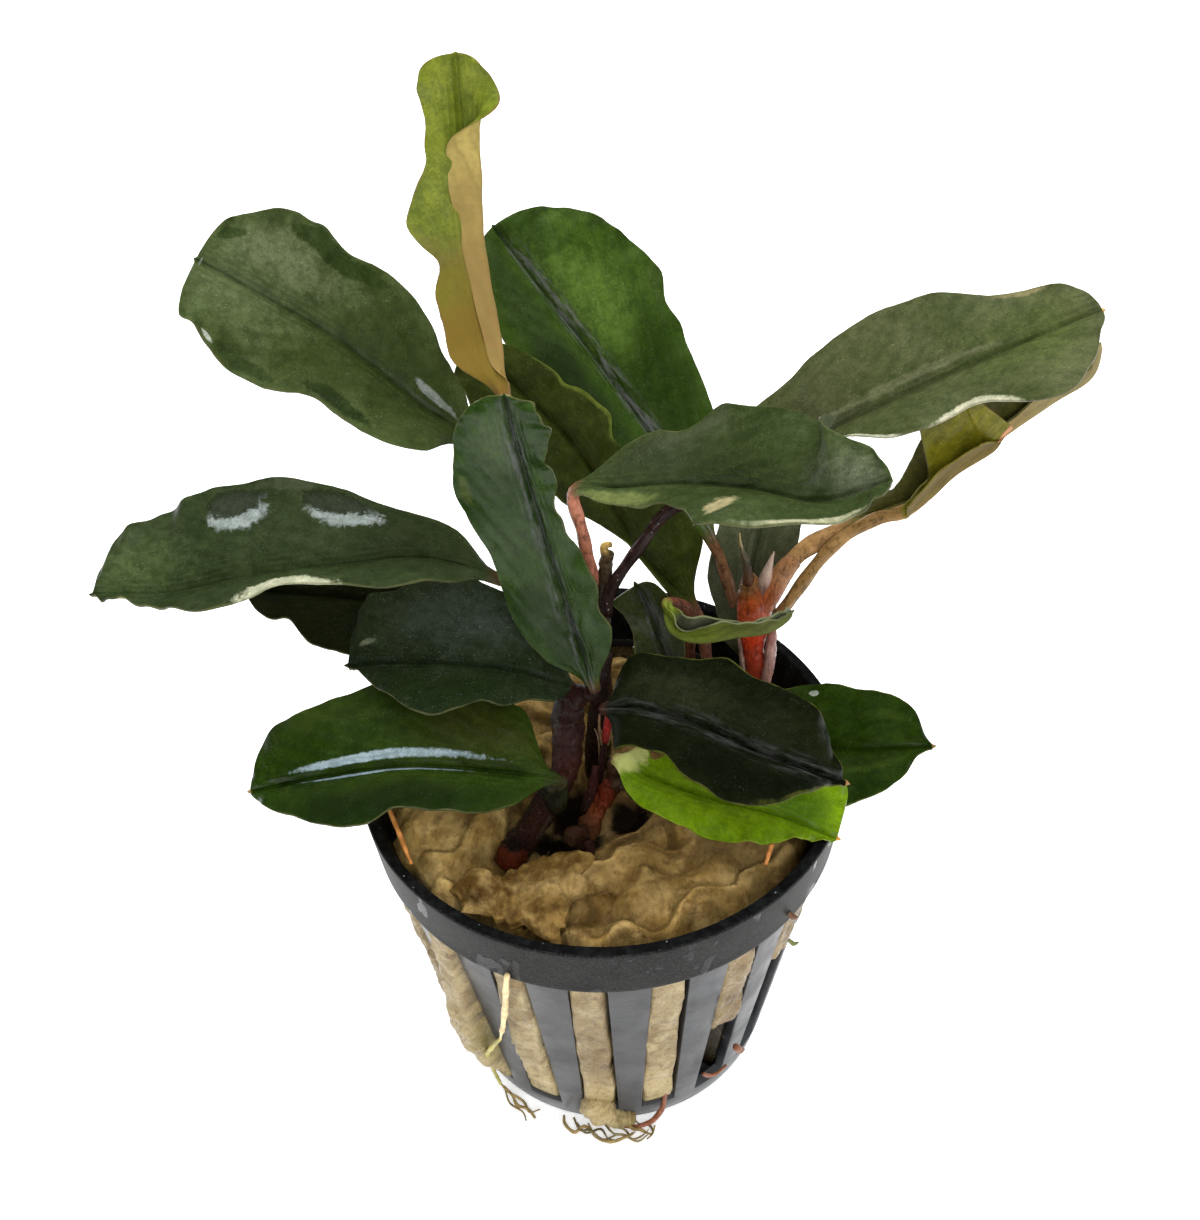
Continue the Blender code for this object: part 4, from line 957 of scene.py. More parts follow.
# Each tube: path, radii, lumps, then colours from its first point on: (millimetres, colour).
STEMS = {
    "stem_front": (
        (((-10.2, -11.2, 38.6), (-9.3, -10.3, 39.6), (-8.2, -9.1, 40.6), (-6.6, -7.6, 42),
          (-5.2, -6.2, 43.4), (-4, -4.7, 44.9), (-3.6, -3.3, 46.4), (-3.45, -2.4, 48),
          (-3.3, -1.6, 49.6), (-2.9, -0.9, 50.9), (-1.9, -0.9, 51.8), (-0.8, -1.6, 52.9)),
         (1.35, 1.6, 1.5, 1.45, 1.3, 1.3, 1.5, 1.65, 1.65, 1.5, 1.1, 0.8), 0.2,
         ((0, (0.04, 0.006, 0.002)), (1.3, (0.05, 0.009, 0.003)), (2.2, (0.005, 0.002, 0.002)),
          (5, (0.018, 0.006, 0.004)), (9, (0.012, 0.005, 0.004)), (11.5, (0.03, 0.008, 0.006)),
          (13.5, (0.024, 0.009, 0.007)), (17, (0.014, 0.005, 0.004)))),
        (((-5.9, -6.7, 43.2), (-4.9, -6.7, 43.5), (-4, -6.6, 43.3)), (1.2, 1.65, 1.25), 0.25,
         ((0, (0.006, 0.006, 0.003)), (2, (0.012, 0.014, 0.005)))),
        (((-8.4, -10.3, 39.5), (-6.8, -9.4, 41.2), (-5.5, -8.2, 42.6)), (0.5, 0.35, 0.4), 0.12,
         ((0, BLACK_BROWN), (2, (0.02, 0.012, 0.008)))),
    ),
    "stem_crown": (
        (((-3, -9.4, 38.8), (-2, -8.4, 39.8), (-0.9, -7, 41), (0.1, -5.9, 42.4), (1, -5, 43.9),
          (1.1, -4.9, 46.2)), (0.8, 1.15, 1, 1, 1, 0.7), 0.36,
         ((0, (0.016, 0.006, 0.003)), (2, (0.04, 0.014, 0.006)), (4, (0.075, 0.02, 0.006)),
          (6, (0.07, 0.011, 0.004)), (9, (0.03, 0.012, 0.006)))),
        (((-3.9, -9.7, 40.2), (-3.1, -9.3, 40.7), (-2, -8.8, 40.6)), (0.7, 0.9, 0.75), 0.3,
         ((0, (0.03, 0.015, 0.008)), (1.5, (0.018, 0.007, 0.004)))),
        (((-1.9, -9.7, 40), (-1.7, -10.8, 39.6), (-1.8, -11.5, 39.3)), (0.5, 0.4, 0.22), 0.12,
         ((0, (0.016, 0.005, 0.003)), (1.5, (0.012, 0.004, 0.003)))),
        (((-1.9, -6.4, 40.8), (-1.2, -4.9, 42.8), (-0.8, -3.9, 44.6)), (0.55, 0.6, 0.4), 0.25,
         ((0, BLACK_BROWN), (3, (0.024, 0.007, 0.006)))),
        (((0.9, -5.4, 43.6), (2.2, -5.9, 44.2), (3.3, -6.6, 43.2), (3.9, -7.2, 41.4)),
         (0.7, 0.8, 0.7, 0.45), 0.2,
         ((0, (0.03, 0.016, 0.008)), (2, (0.048, 0.03, 0.016)), (4, BLACK_BROWN))),
    ),
    "stem_red": (
        (((-0.8, -3.3, 36), (-0.4, -3.2, 41), (-0.1, -2, 43.5), (0.3, -0.6, 45.4)),
         (0.3, 0.34, 0.36, 0.34), 0.08,
         ((0, BLACK_BROWN), (5, (0.02, 0.007, 0.008)), (9, (0.022, 0.008, 0.008)))),
        (((0.2, -1.3, 45.2), (0.5, -0.3, 46.2), (0.7, 0.6, 46.9)), (0.38, 0.44, 0.4), 0.05,
         ((0, (0.12, 0.01, 0.008)), (1.5, (0.2, 0.016, 0.014)))),
        (((-0.1, -1.5, 45), (-0.3, -0.5, 46.4), (-0.2, 0.4, 47.6)), (0.12, 0.13, 0.08), 0.02,
         ((0, (0.1, 0.06, 0.03)), (2, (0.16, 0.1, 0.05)))),
        (((0.5, -1.5, 45), (1, -0.4, 46.3), (1.2, 0.5, 47.4)), (0.12, 0.12, 0.08), 0.02,
         ((0, (0.1, 0.06, 0.03)), (2, (0.16, 0.1, 0.05)))),
    ),
    "stem_back": (
        (((-0.7, 1.6, 36.8), (-0.5, 2, 40.5), (0, 4, 46), (0.3, 5.4, 52.5), (0.6, 6.4, 57),
          (0.9, 6.8, 60.5), (1.3, 7, 63.2)), (1.3, 1.35, 1.2, 1, 0.85, 0.65, 0.62), 0.14,
         ((0, BLACK_BROWN), (12, (0.014, 0.006, 0.005)), (22, (0.022, 0.012, 0.007)),
          (27, (0.05, 0.035, 0.015)))),
        (((1.2, 7, 62.9), (0.9, 7, 64), (1.7, 6.9, 64.4)), (0.5, 0.42, 0.3), 0.12,
         ((0, (0.16, 0.1, 0.03)), (1.2, (0.42, 0.29, 0.08)))),
    ),
    "stem_side": (
        (((16.7, 6.5, 39.2), (16.2, 6.4, 43.5), (16, 6.2, 47.5), (15.7, 6.1, 51), (15.7, 6.2, 54),
          (15.6, 6.4, 56.6), (15.2, 6.6, 58.8), (14.9, 6.7, 60.2)),
         (1.25, 1.2, 1.15, 1.25, 1.65, 1.6, 1, 0.4), 0.12,
         ((0, (0.06, 0.014, 0.008)), (10, (0.26, 0.03, 0.012)), (14, (0.38, 0.03, 0.008)),
          (17, (0.34, 0.052, 0.012)), (20, (0.14, 0.06, 0.018)))),
        (((16.2, 6, 54.6), (17, 6.2, 57.3), (18.3, 6.6, 59.8), (19.3, 6.7, 61.4)),
         (0.9, 1.15, 1.05, 0.85), 0.06,
         ((0, (0.36, 0.044, 0.012)), (2.5, (0.34, 0.085, 0.028)), (6, (0.25, 0.12, 0.05)))),
        (((17.1, 5.2, 45), (17.3, 5.2, 49), (17.5, 5.3, 52.6), (17.4, 5.5, 54.4)),
         (0.6, 0.6, 0.5, 0.2), 0.08,
         ((0, (0.3, 0.15, 0.12)), (6, (0.36, 0.21, 0.18)), (9, (0.22, 0.07, 0.05)))),
        (((14.9, 5.4, 46.5), (14.5, 5.4, 50.2), (14.1, 5.6, 53.2)), (0.22, 0.25, 0.12), 0.04,
         ((0, (0.36, 0.3, 0.25)), (4, (0.2, 0.12, 0.09)))),
        (((15, 6.3, 59.2), (14.7, 6.2, 61.8), (14.1, 6, 64), (13.9, 6, 65.8)),
         (0.6, 0.36, 0.2, 0.07), 0.05,
         ((0, (0.08, 0.03, 0.012)), (3, (0.035, 0.028, 0.014)), (6, (0.26, 0.2, 0.08)))),
        (((16.4, 6.3, 57.6), (16.7, 6.2, 60), (17, 6.1, 61.8), (17.3, 6, 63.3)),
         (0.8, 0.6, 0.32, 0.05), 0.03, ((0, (0.2, 0.08, 0.06)), (3, (0.38, 0.27, 0.21)))),
    ),
}
# The solids that a stem stands for, where they aren't the one of its name.
STEM_NODES = {"stem_front": ("stem_front", "stem_front_foot")}
ROOTS = {
    "root_left": (
        (-22.5, -3.5, 42.8), (-21.6, -6.4, 43.1), (-20.6, -9, 43), (-19.7, -11.2, 42.5),
        (-19, -12.9, 41.9),
    ),
    "root_right": (
        (16.6, -9.2, 42.6), (16.2, -11.6, 43.1), (15.6, -13.8, 43.1), (14.9, -15.6, 42.8),
    ),
}
CREAM_ROOT = (0.62, 0.48, 0.24)
OLIVE_ROOT = (0.24, 0.17, 0.06)
RED_ROOT = (0.22, 0.075, 0.035)
# Fine roots outside the pot: path, radius, colour.
FINE_ROOTS = (
    (((-10, -22.6, 37), (-10.3, -22.6, 34.5), (-10.6, -21.6, 30.9), (-11.3, -20.3, 25),
      (-12, -19, 20)), 0.36, CREAM_ROOT),
    (((-12, -19, 20), (-13.4, -17, 15), (-14.2, -15.2, 10.7), (-13.9, -14.5, 6.5),
      (-13.4, -14.3, 3)), 0.3, (0.34, 0.3, 0.06)),
    (((-13.4, -14.3, 3), (-12.2, -14.9, 1.5), (-11.6, -15.9, 0.8), (-10.4, -16.2, 0.5),
      (-9.6, -17.3, 0.4)), 0.2, OLIVE_ROOT),
    (((-12.4, -14.8, 1.8), (-10.9, -15.4, 0.7), (-10.2, -16.6, 0.5), (-9, -16.4, 0.6)), 0.16,
     OLIVE_ROOT),
    (((-12.9, -14.6, 2.2), (-12.4, -15.8, 1.2), (-11, -16.6, 0.6), (-10.6, -17.6, 0.4)), 0.12,
     (0.16, 0.12, 0.04)),
    (((-6.3, -17.4, 0.8), (-6.2, -18.5, 1), (-5.2, -19.3, 0.5), (-4, -18.9, 0.9),
      (-2.6, -19.9, 0.5)), 0.2, OLIVE_ROOT),
    (((-5.2, -17.8, 1), (-4.6, -19.2, 0.8), (-3.4, -19.6, 1.2), (-2, -20.3, 0.5),
      (-0.4, -19.9, 0.6)), 0.16, (0.14, 0.11, 0.045)),
    (((-3.6, -18.6, 1), (-2.8, -19.9, 0.5), (-1.2, -20.6, 0.4), (0.6, -20.3, 0.8),
      (1.6, -19.6, 0.4)), 0.2, OLIVE_ROOT),
    (((-1.8, -18.8, 1.2), (-0.8, -20.1, 1.3), (0.4, -20, 0.6), (1.8, -20.7, 0.4), (3, -20.1, 0.6)),
     0.15, (0.2, 0.16, 0.07)),
    (((0.5, -18.6, 1.6), (1.4, -19.6, 1.2), (2.2, -19.4, 0.6), (3.4, -19.9, 0.4), (3.9, -19, 0.6)),
     0.2, OLIVE_ROOT),
    (((1.2, -18.4, 2), (2.2, -19, 1), (3.2, -18.8, 0.5), (3.6, -19.8, 0.5), (2.9, -20.5, 0.4)),
     0.14, (0.13, 0.1, 0.04)),
    (((-4.9, -18.2, 0.5), (-3.9, -19.4, 0.4), (-2.2, -19.2, 0.7), (-1.4, -20.2, 0.4),
      (0, -20.5, 0.4)), 0.13, (0.1, 0.08, 0.03)),
    (((-0.6, -18.9, 0.8), (0.6, -19.4, 0.5), (1.2, -20.4, 0.4), (2.4, -20.2, 0.7),
      (3.2, -19.3, 0.4)), 0.12, (0.16, 0.12, 0.05)),
    (((5.2, -17.4, 6.5), (5.1, -17.6, 4), (4.7, -18.1, 2.4), (3.6, -18.8, 1.3), (1.9, -19.1, 0.8),
      (0.4, -18.9, 0.6)), 0.32, RED_ROOT),
    (((9.3, -17.9, 9.3), (10, -17.6, 8.4), (10.9, -17.2, 8.2), (11.9, -16.9, 9.2)), 0.22, RED_ROOT),
    (((13, -15.9, 11.2), (13.4, -15.7, 10.2), (13.9, -15.4, 9.8)), 0.42, (0.17, 0.06, 0.03)),
    (((17.2, -17.2, 37.2), (17.6, -17.6, 37), (18, -17.8, 37.1)), 0.3, (0.12, 0.06, 0.03)),
    (((17.6, -16.3, 31.4), (18.1, -16.6, 31.1), (18.6, -16.6, 31.3)), 0.25, (0.13, 0.14, 0.04)),
    (((-0.8, 1.8, 44), (-0.5, 0.4, 44.4), (-0.4, -1, 43.8), (-0.5, -2.2, 42.4)), 0.09,
     (0.1, 0.06, 0.03)),
    (((-0.3, 1.8, 44.3), (0, 0.4, 44.6), (-0.1, -0.9, 44), (-0.2, -2.2, 42.6)), 0.08,
     (0.12, 0.07, 0.03)),
    (((0.2, 1.8, 44.6), (0.3, 0.5, 44.8), (0.2, -0.8, 44.2), (0, -2.1, 42.8)), 0.09,
     (0.09, 0.05, 0.03)),
)


def stem_material(name, bands):
    g = Graph(name)
    place = g.read("run")[0] + (g.noise(1.8, 4, 0.6) - 0.5) * 3.5
    colour = bands[0][1]
    for (before, _), (at, shade) in zip(bands, bands[1:]):
        colour = g.mix(g.fade(place, before, at), colour, shade)
    furrow = g.noise(0.30, 5, 0.7, g.stretch((1, 1, 0.16)), 0.5)
    colour = g.dim(g.fade(furrow, 0.48, 0.66, 0.0, 0.8), colour, (0.22, 0.2, 0.22))
    colour = g.dim(g.fade(g.noise(1.3, 3, 0.6), 0.52, 0.7, 0.0, 0.5), colour, (1.7, 1.5, 1.4))
    # Pale scales, painted partly as glints of light.
    flake_glints = g.fade(g.cells(0.55), 0.16, 0.06) * g.fade(g.noise(1.6), 0.5, 0.6)
    colour = g.mix(flake_glints * 0.35, colour, (0.22, 0.19, 0.15))
    rough = g.fade(g.noise(1.1, 3), 0.4, 0.62, 0.20, 0.55)
    normal = g.bump(furrow, 0.10)
    normal = g.bump(g.noise(0.16, 2), 0.03, 1.0, normal)
    return g.finish(colour, rough, normal, Specular_IOR_Level=0.28)


def make_stems():
    for number, (name, tubes) in enumerate(STEMS.items()):
        parts, runs, which, materials = [], [], [], []
        for k, (path, radii, lumps, bands) in enumerate(tubes):
            length = sum(math.dist(a, b) for a, b in zip(path, path[1:]))
            rows, seed = max(16, int(length / 0.16)), 40 + 7 * number + k
            points, faces, run = tube(path, radii, rows, 36, lumps, 1.3, seed, 0.3 * lumps, 2.3)
            parts.append((points, faces))
            runs.append(run)
            which += [k] * len(faces)
            materials.append(stem_material(f"{name}_{k}", bands))
        points, faces = joined(parts)
        replaced = STEM_NODES.get(name, (name,))
        obj = mesh_object(name + "_skin", points, faces, materials, which, replaced)
        store(obj, "run", np.concatenate(runs)[:, None] * (1, 0, 0))


def root_material(name, colour):
    g = Graph(name)
    base = g.mix(g.fade(g.noise(1.2, 3), 0.4, 0.62), colour, times(colour, 1.5, 0.02))
    base = g.mix(g.fade(g.noise(0.5, 3), 0.55, 0.75, 0.0, 0.6), base, times(colour, 0.4))
    return g.finish(base, 0.42, g.bump(g.noise(0.25, 2), 0.05), Specular_IOR_Level=0.4)


def make_roots():
    material = root_material("root", (0.50, 0.20, 0.05))
    for number, (name, path) in enumerate(ROOTS.items()):
        radii = [0.25] * (len(path) - 1) + [0.16]
        points, faces, _ = tube(path, radii, 40, 12, 0.05, 0.8, 70 + number)
        mesh_object(name + "_skin", points, faces, [material], None, (name,))
    materials, parts, which, known = [], [], [], {}
    for number, (path, radius, colour) in enumerate(FINE_ROOTS):
        if colour not in known:
            known[colour] = len(materials)
            materials.append(root_material(f"fine_root_{len(known)}", colour))
        radii = (0.8 * radius, radius, 0.5 * radius)
        points, faces, _ = tube(path, radii, 40, 8, 0.28 * radius, 1.0, 80 + number)
        parts.append((points, faces))
        which += [known[colour]] * len(faces)
    points, faces = joined(parts)
    mesh_object("fine_roots", points, faces, materials, which)


# ---------------------------------------------------------------- pot

POT_HEIGHT = 42.7
RIM_RADIUS = 25.0
RIM_INNER_RADIUS = 23.8
COLLAR_HEIGHT = 7.0
COLLAR_FOOT_RADIUS = 24.3
WALL_TOP_RADIUS = 23.5
FOOT_RADIUS = 17.9
FOOT_EDGE = 0.5
WALL = 1.1
SLOTS = 18
SLOT_WIDTH = 3.8
SLOT_MEAN_RADIUS = 20.5
SLOT_FOOT_Z = 3.5
FRONT_SLOT_ANGLE = -6.3
SLOT_COLUMNS = 5
RIB_COLUMNS = 3
COLLAR_STEPS = 192


def toward(angle):
    """Unit vectors at angles from the front, -Y, towards +X."""
    return np.stack((np.sin(angle), -np.cos(angle)), -1)


def wall_radius(z):
    """Outer radius of the pot's wall."""
    share = (z - FOOT_EDGE) / (POT_HEIGHT - COLLAR_HEIGHT - FOOT_EDGE)
    return FOOT_RADIUS + (WALL_TOP_RADIUS - FOOT_RADIUS) * share


def wall_material():
    """The ribs: blue-grey plastic in soft patches, with dark scuffs, and paler towards the foot."""
    g = Graph("pot_plastic")
    z = g.split(g.place)[2]
    patches = g.fade(g.noise(4, 4, 0.6), 0.35, 0.65)
    colour = g.mix(patches, (0.012, 0.013, 0.015), (0.027, 0.029, 0.033))
    scuffs = g.fade(g.noise(0.6, 4, 0.7, g.stretch((1, 1, 0.4))), 0.52, 0.72)
    colour = g.mix(scuffs * 0.55, colour, (0.012, 0.012, 0.013))
    colour = g.mix(g.fade(z, 0.009, 0.0, 0.0, 0.6), colour, (0.14, 0.145, 0.15))
    rough = g.fade(g.noise(5, 4, 0.6), 0.35, 0.65, 0.28, 0.42)
    normal = g.bump(g.noise(0.5, 3, 0.6), 0.02)
    return g.finish(colour, rough, normal, Specular_IOR_Level=0.32)


def collar_material():
    """The collar: grey plastic, finely speckled, with small pits and wet runs."""
    g = Graph("pot_collar_plastic")
    patches = g.fade(g.noise(3.5, 4, 0.65), 0.38, 0.62)
    colour = g.mix(patches, (0.004, 0.004, 0.0036), (0.010, 0.0105, 0.0095))
    grain = g.noise(0.22, 3, 0.8)
    colour = g.mix(g.fade(grain, 0.48, 0.66, 0.0, 0.8), colour, (0.036, 0.037, 0.035))
    colour = g.mix(g.fade(grain, 0.46, 0.30, 0.0, 0.7), colour, (0.006, 0.006, 0.006))
    pits = g.fade(g.cells(0.7), 0.20, 0.12) * g.fade(g.noise(2.2, 3), 0.46, 0.56)
    colour = g.mix(pits, colour, (0.003, 0.003, 0.003))
    runs = g.fade(g.noise(3.2, 3, 0.5, g.stretch((1, 1, 0.55)), 0.6), 0.60, 0.64)
    colour = g.mix(runs * 0.6, colour, (0.006, 0.006, 0.007))
    rough = g.fade(runs, 0.0, 1.0, 0.46, 0.14)
    normal = g.bump(grain - pits, 0.035)
    normal = g.bump(runs, 0.06, 0.6, normal)
    return g.finish(colour, rough, normal, Specular_IOR_Level=0.07)


def rim_material():
    """The rim's top and its inside: black, with a few white specks of dust."""
    g = Graph("pot_rim_plastic")
    specks = g.fade(g.cells(0.75), 0.12, 0.05) * g.fade(g.noise(2.0, 2), 0.5, 0.58)
    patches = g.fade(g.noise(1.2, 4, 0.7), 0.4, 0.7)
    colour = g.mix(patches, (0.003, 0.003, 0.003), (0.009, 0.010, 0.010))
    colour = g.mix(specks * 0.8, colour, (0.30, 0.34, 0.36))
    return g.finish(colour, 0.5, g.bump(g.noise(0.4, 3), 0.03), Specular_IOR_Level=0.05)


def make_pot():
    pitch, first = 2 * math.pi / SLOTS, math.radians(FRONT_SLOT_ANGLE)
    slot_half = SLOT_WIDTH / 2 / SLOT_MEAN_RADIUS
    group = SLOT_COLUMNS + RIB_COLUMNS
    angles, is_slot = [], []
    for k in range(SLOTS):
        start = first + k * pitch
        for j in range(SLOT_COLUMNS):
            angles.append(start - slot_half + 2 * slot_half * j / SLOT_COLUMNS)
        for j in range(RIB_COLUMNS):
            angles.append(start + slot_half + (pitch - 2 * slot_half) * j / RIB_COLUMNS)
        is_slot += [True] * SLOT_COLUMNS + [False] * RIB_COLUMNS
    count = len(angles)
    centres = np.repeat(first + np.arange(SLOTS) * pitch, group)
    offsets = np.array(angles) - centres
    within = np.abs(offsets) <= slot_half + 1e-6
    top = POT_HEIGHT - COLLAR_HEIGHT
    # Rings of the wall from the floor's middle up: radius, height, whether slots open above it.
    rows = [(4.0, 0.0, False), (9.5, 0.0, False), (15.0, 0.0, False)]
    rows += [(FOOT_RADIUS - FOOT_EDGE, 0.0, False), (FOOT_RADIUS, FOOT_EDGE, False)]
    rows += [(wall_radius(2.0), 2.0, False), (wall_radius(SLOT_FOOT_Z), SLOT_FOOT_Z, True)]
    rows += [(wall_radius(z), z, True) for z in np.linspace(SLOT_FOOT_Z, top, 13)[1:-1]]
    rows += [(wall_radius(top), top, False), (wall_radius(top + 1.0) - 0.1, top + 1.0, False)]
    bm = bmesh.new()
    centre = bm.verts.new((0, 0, 0))
    grid = []
    for radius, z, _ in rows:
        # A slot keeps its width down the wall, so its sides come closer in angle near the collar.
        wide = max(radius, 12.0)
        right = slot_half * SLOT_MEAN_RADIUS / wide
        beside = right + (offsets - slot_half) * (pitch - 2 * right) / (pitch - 2 * slot_half)
        turned = centres + np.where(within, offsets * (SLOT_MEAN_RADIUS / wide), beside)
        grid.append([bm.verts.new((*(toward(a) * radius), z)) for a in turned])
    for j in range(count):
        bm.faces.new((centre, grid[0][(j + 1) % count], grid[0][j]))
    for i in range(len(rows) - 1):
        for j in range(count):
            k = (j + 1) % count
            floor_slot = i == 1 and j // group % 3 == 0
            if not (is_slot[j] and (rows[i][2] or floor_slot)):
                bm.faces.new((grid[i][j], grid[i][k], grid[i + 1][k], grid[i + 1][j]))
    bmesh.ops.recalc_face_normals(bm, faces=bm.faces)
    bmesh.ops.scale(bm, vec=(MM, MM, MM), verts=bm.verts)
    mesh = bpy.data.meshes.new("pot_wall")
    bm.to_mesh(mesh)
    bm.free()
    mesh.materials.append(wall_material())
    obj = bpy.data.objects.new("pot_wall", mesh)
    scene.collection.objects.link(obj)
    wall = obj.modifiers.new("wall", "SOLIDIFY")
    wall.thickness = WALL * MM
    wall.offset = 0.0
    wall.use_even_offset = True
    bevel = obj.modifiers.new("edges", "BEVEL")
    bevel.width = 0.2 * MM
    bevel.segments = 3
    bevel.angle_limit = math.radians(40)
    apply_modifiers(obj)
    shift_inwards(obj)
    obj.data.shade_smooth()
    obj.data.set_sharp_from_angle(angle=math.radians(35))
    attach(obj, "root")
    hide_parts("pot")


def apply_modifiers(obj):
    bpy.context.view_layer.update()
    graph = bpy.context.evaluated_depsgraph_get()
    mesh = bpy.data.meshes.new_from_object(obj.evaluated_get(graph))
    obj.modifiers.clear()
    old = obj.data
    obj.data = mesh
    mesh.name = obj.name
    bpy.data.meshes.remove(old)


def shift_inwards(obj):
    """The sheet was thickened to both sides: it moves in so that its outside is the pot's."""
    co = np.empty(len(obj.data.vertices) * 3)
    obj.data.vertices.foreach_get("co", co)
    co = co.reshape(-1, 3)
    radius = np.hypot(co[:, 0], co[:, 1]) / MM
    z = co[:, 2] / MM
    inward = WALL / 2 * smooth_step((radius - 14) / 3)
    scale = np.where(radius > 1, (radius - inward) / np.maximum(radius, 1), 1)
    co[:, :2] *= scale[:, None]
    co[:, 2] += WALL / 2 * MM * smooth_step((3.0 - z) / 3.0)
    obj.data.vertices.foreach_set("co", co.ravel())
    obj.data.update()


def make_collar():
    """The smooth band round the rim, with rounded lips."""
    top, low = POT_HEIGHT, POT_HEIGHT - COLLAR_HEIGHT
    inner_low, wider = WALL_TOP_RADIUS - WALL, RIM_RADIUS - COLLAR_FOOT_RADIUS
    outline = [
        (inner_low, low + 0.1),
        (WALL_TOP_RADIUS - 0.1, low),
        (COLLAR_FOOT_RADIUS - 0.25, low),
        (COLLAR_FOOT_RADIUS - 0.05, low + 0.08),
        (COLLAR_FOOT_RADIUS + 0.02, low + 0.3),
    ]
    for f in np.linspace(0.1, 0.93, 8):
        outline.append((COLLAR_FOOT_RADIUS + wider * f, low + COLLAR_HEIGHT * f))
    outline.append((RIM_RADIUS - 0.03, top - 0.2))
    first_black = len(outline)
    outline += [
        (RIM_RADIUS - 0.14, top - 0.04),
        (RIM_RADIUS - 0.32, top),
        (RIM_INNER_RADIUS + 0.3, top),
        (RIM_INNER_RADIUS + 0.1, top - 0.06),
        (RIM_INNER_RADIUS, top - 0.22),
        (RIM_INNER_RADIUS - 0.3, top - 1.5),
        (inner_low + 0.5, low + 3),
    ]
    rows, steps = len(outline), COLLAR_STEPS
    turn = np.arange(steps) * 2 * math.pi / steps
    wobble = 0.025 * np.sin(5 * turn + 1) + 0.015 * np.sin(11 * turn)
    points, faces = [], []
    for i, (radius, z) in enumerate(outline):
        around = (radius + wobble - 0.03)[..., None] if z > low + 0.5 else radius
        points.append(np.concatenate((toward(turn) * around, np.full((steps, 1), z)), 1))
        a, b = i * steps, (i + 1) % rows * steps
        for j in range(steps):
            k = (j + 1) % steps
            faces.append((a + j, a + k, b + k, b + j))
    is_black = np.repeat(np.arange(rows) >= first_black, steps).astype(int)
    materials, points = [collar_material(), rim_material()], np.concatenate(points)
    obj = mesh_object("pot_collar", points, faces, materials, is_black, ("pot",))
    obj.data.set_sharp_from_angle(angle=math.radians(50))


# ---------------------------------------------------------------- rockwool

PLUG_FOOT_Z = 1.8
PLUG_EDGE_Z = 39.0
PLUG_MIDDLE_Z = 39.5
GAP = 0.3
SLOT_BULGE = 0.15
LEFT_BULGE = 2.8
LEFT_BULGE_AT = -50.0
LEFT_BULGE_SPREAD = 14.0
# Mounds and hollows of the surface: x, y, height, spread.
LUMPS = (
    (-16.5, -7.0, 2.2, 4.0),
    (-16.5, -12.5, 1.0, 2.2),
    (-9.0, -16.0, 0.6, 4.0),
    (6.0, -17.0, 1.6, 4.0),
    (6.5, -11.5, -1.6, 2.2),
    (15.0, -9.0, 1.6, 4.0),
    (-6.0, 12.0, 1.5, 6.0),
    (-4.0, -4.5, -8.0, 2.9),
    (-3.5, -1.0, -4.0, 2.2),
    (2.4, -3.4, -5.0, 1.9),
    (-10.0, -10.5, -2.0, 2.4),
    (0.2, -15.0, -1.4, 1.3),
    (-1.4, -18.6, -1.7, 1.3),
    (-3.2, -21.2, -1.1, 1.1),
)
# Brown wet areas of the surface, and the cleft right of the flap painted dark as shade: x, y, their
# half sizes, strength.
WET_AND_SHADED_WOOL = (
    (7.0, -9.5, 7.0, 2.6, 0.9),
    (-0.2, -15.5, 2.0, 3.2, 1.0),
    (-2.0, -19.4, 1.8, 2.6, 1.0),
    (12.0, -17.5, 2.2, 2.0, 0.8),
    (18.5, -9.0, 4.5, 5.0, 0.9),
)
# Paler, drier wool at the left: x, y, half sizes.
PALE_WOOL = (-17.5, -9.5, 5.5, 7.5)
# Hollows painted black as shadow: x, y, radius.
SHADOWED_HOLLOWS = ((-4.2, -5.6, 3.6), (-3.6, -1.2, 2.1), (2.4, -3.6, 2.2), (-4.2, -8.6, 2.0))
# Slots right of the front one whose lower part is empty: slot number, height of its wool's foot.
EMPTY_BELOW = {2: 19.0, 3: 25.0, 4: 22.0}
PLUG_COLUMNS = 22
PLUG_SIDE_ROWS = 80
PLUG_TOP_ROWS = 120


def behind(x, y):
    """How far back a place is, in the direction in which the plug's surface falls away."""
    return 0.9 * y + 0.43 * x


def plug_top(x, y):
    """Height of the plug's surface, which falls away behind."""
    edge = np.hypot(x, y) / RIM_RADIUS
    z = PLUG_MIDDLE_Z + (PLUG_EDGE_Z - PLUG_MIDDLE_Z) * edge
    for at_x, at_y, height, spread in LUMPS:
        z = z + height * np.exp(-((x - at_x) ** 2 + (y - at_y) ** 2) / (2 * spread**2))
    return z - 5.0 * smooth_step((behind(x, y) - 15.0) / 4.5)


def slot_bulge(angle, z):
    """How far the plug stands out of the slot at this angle and height."""
    off = (np.degrees(angle) - LEFT_BULGE_AT + 180) % 360 - 180
    low = 0.3 + 0.7 * bell((z - 15.0) / 9.0)
    return SLOT_BULGE + LEFT_BULGE * low * bell(off / LEFT_BULGE_SPREAD)


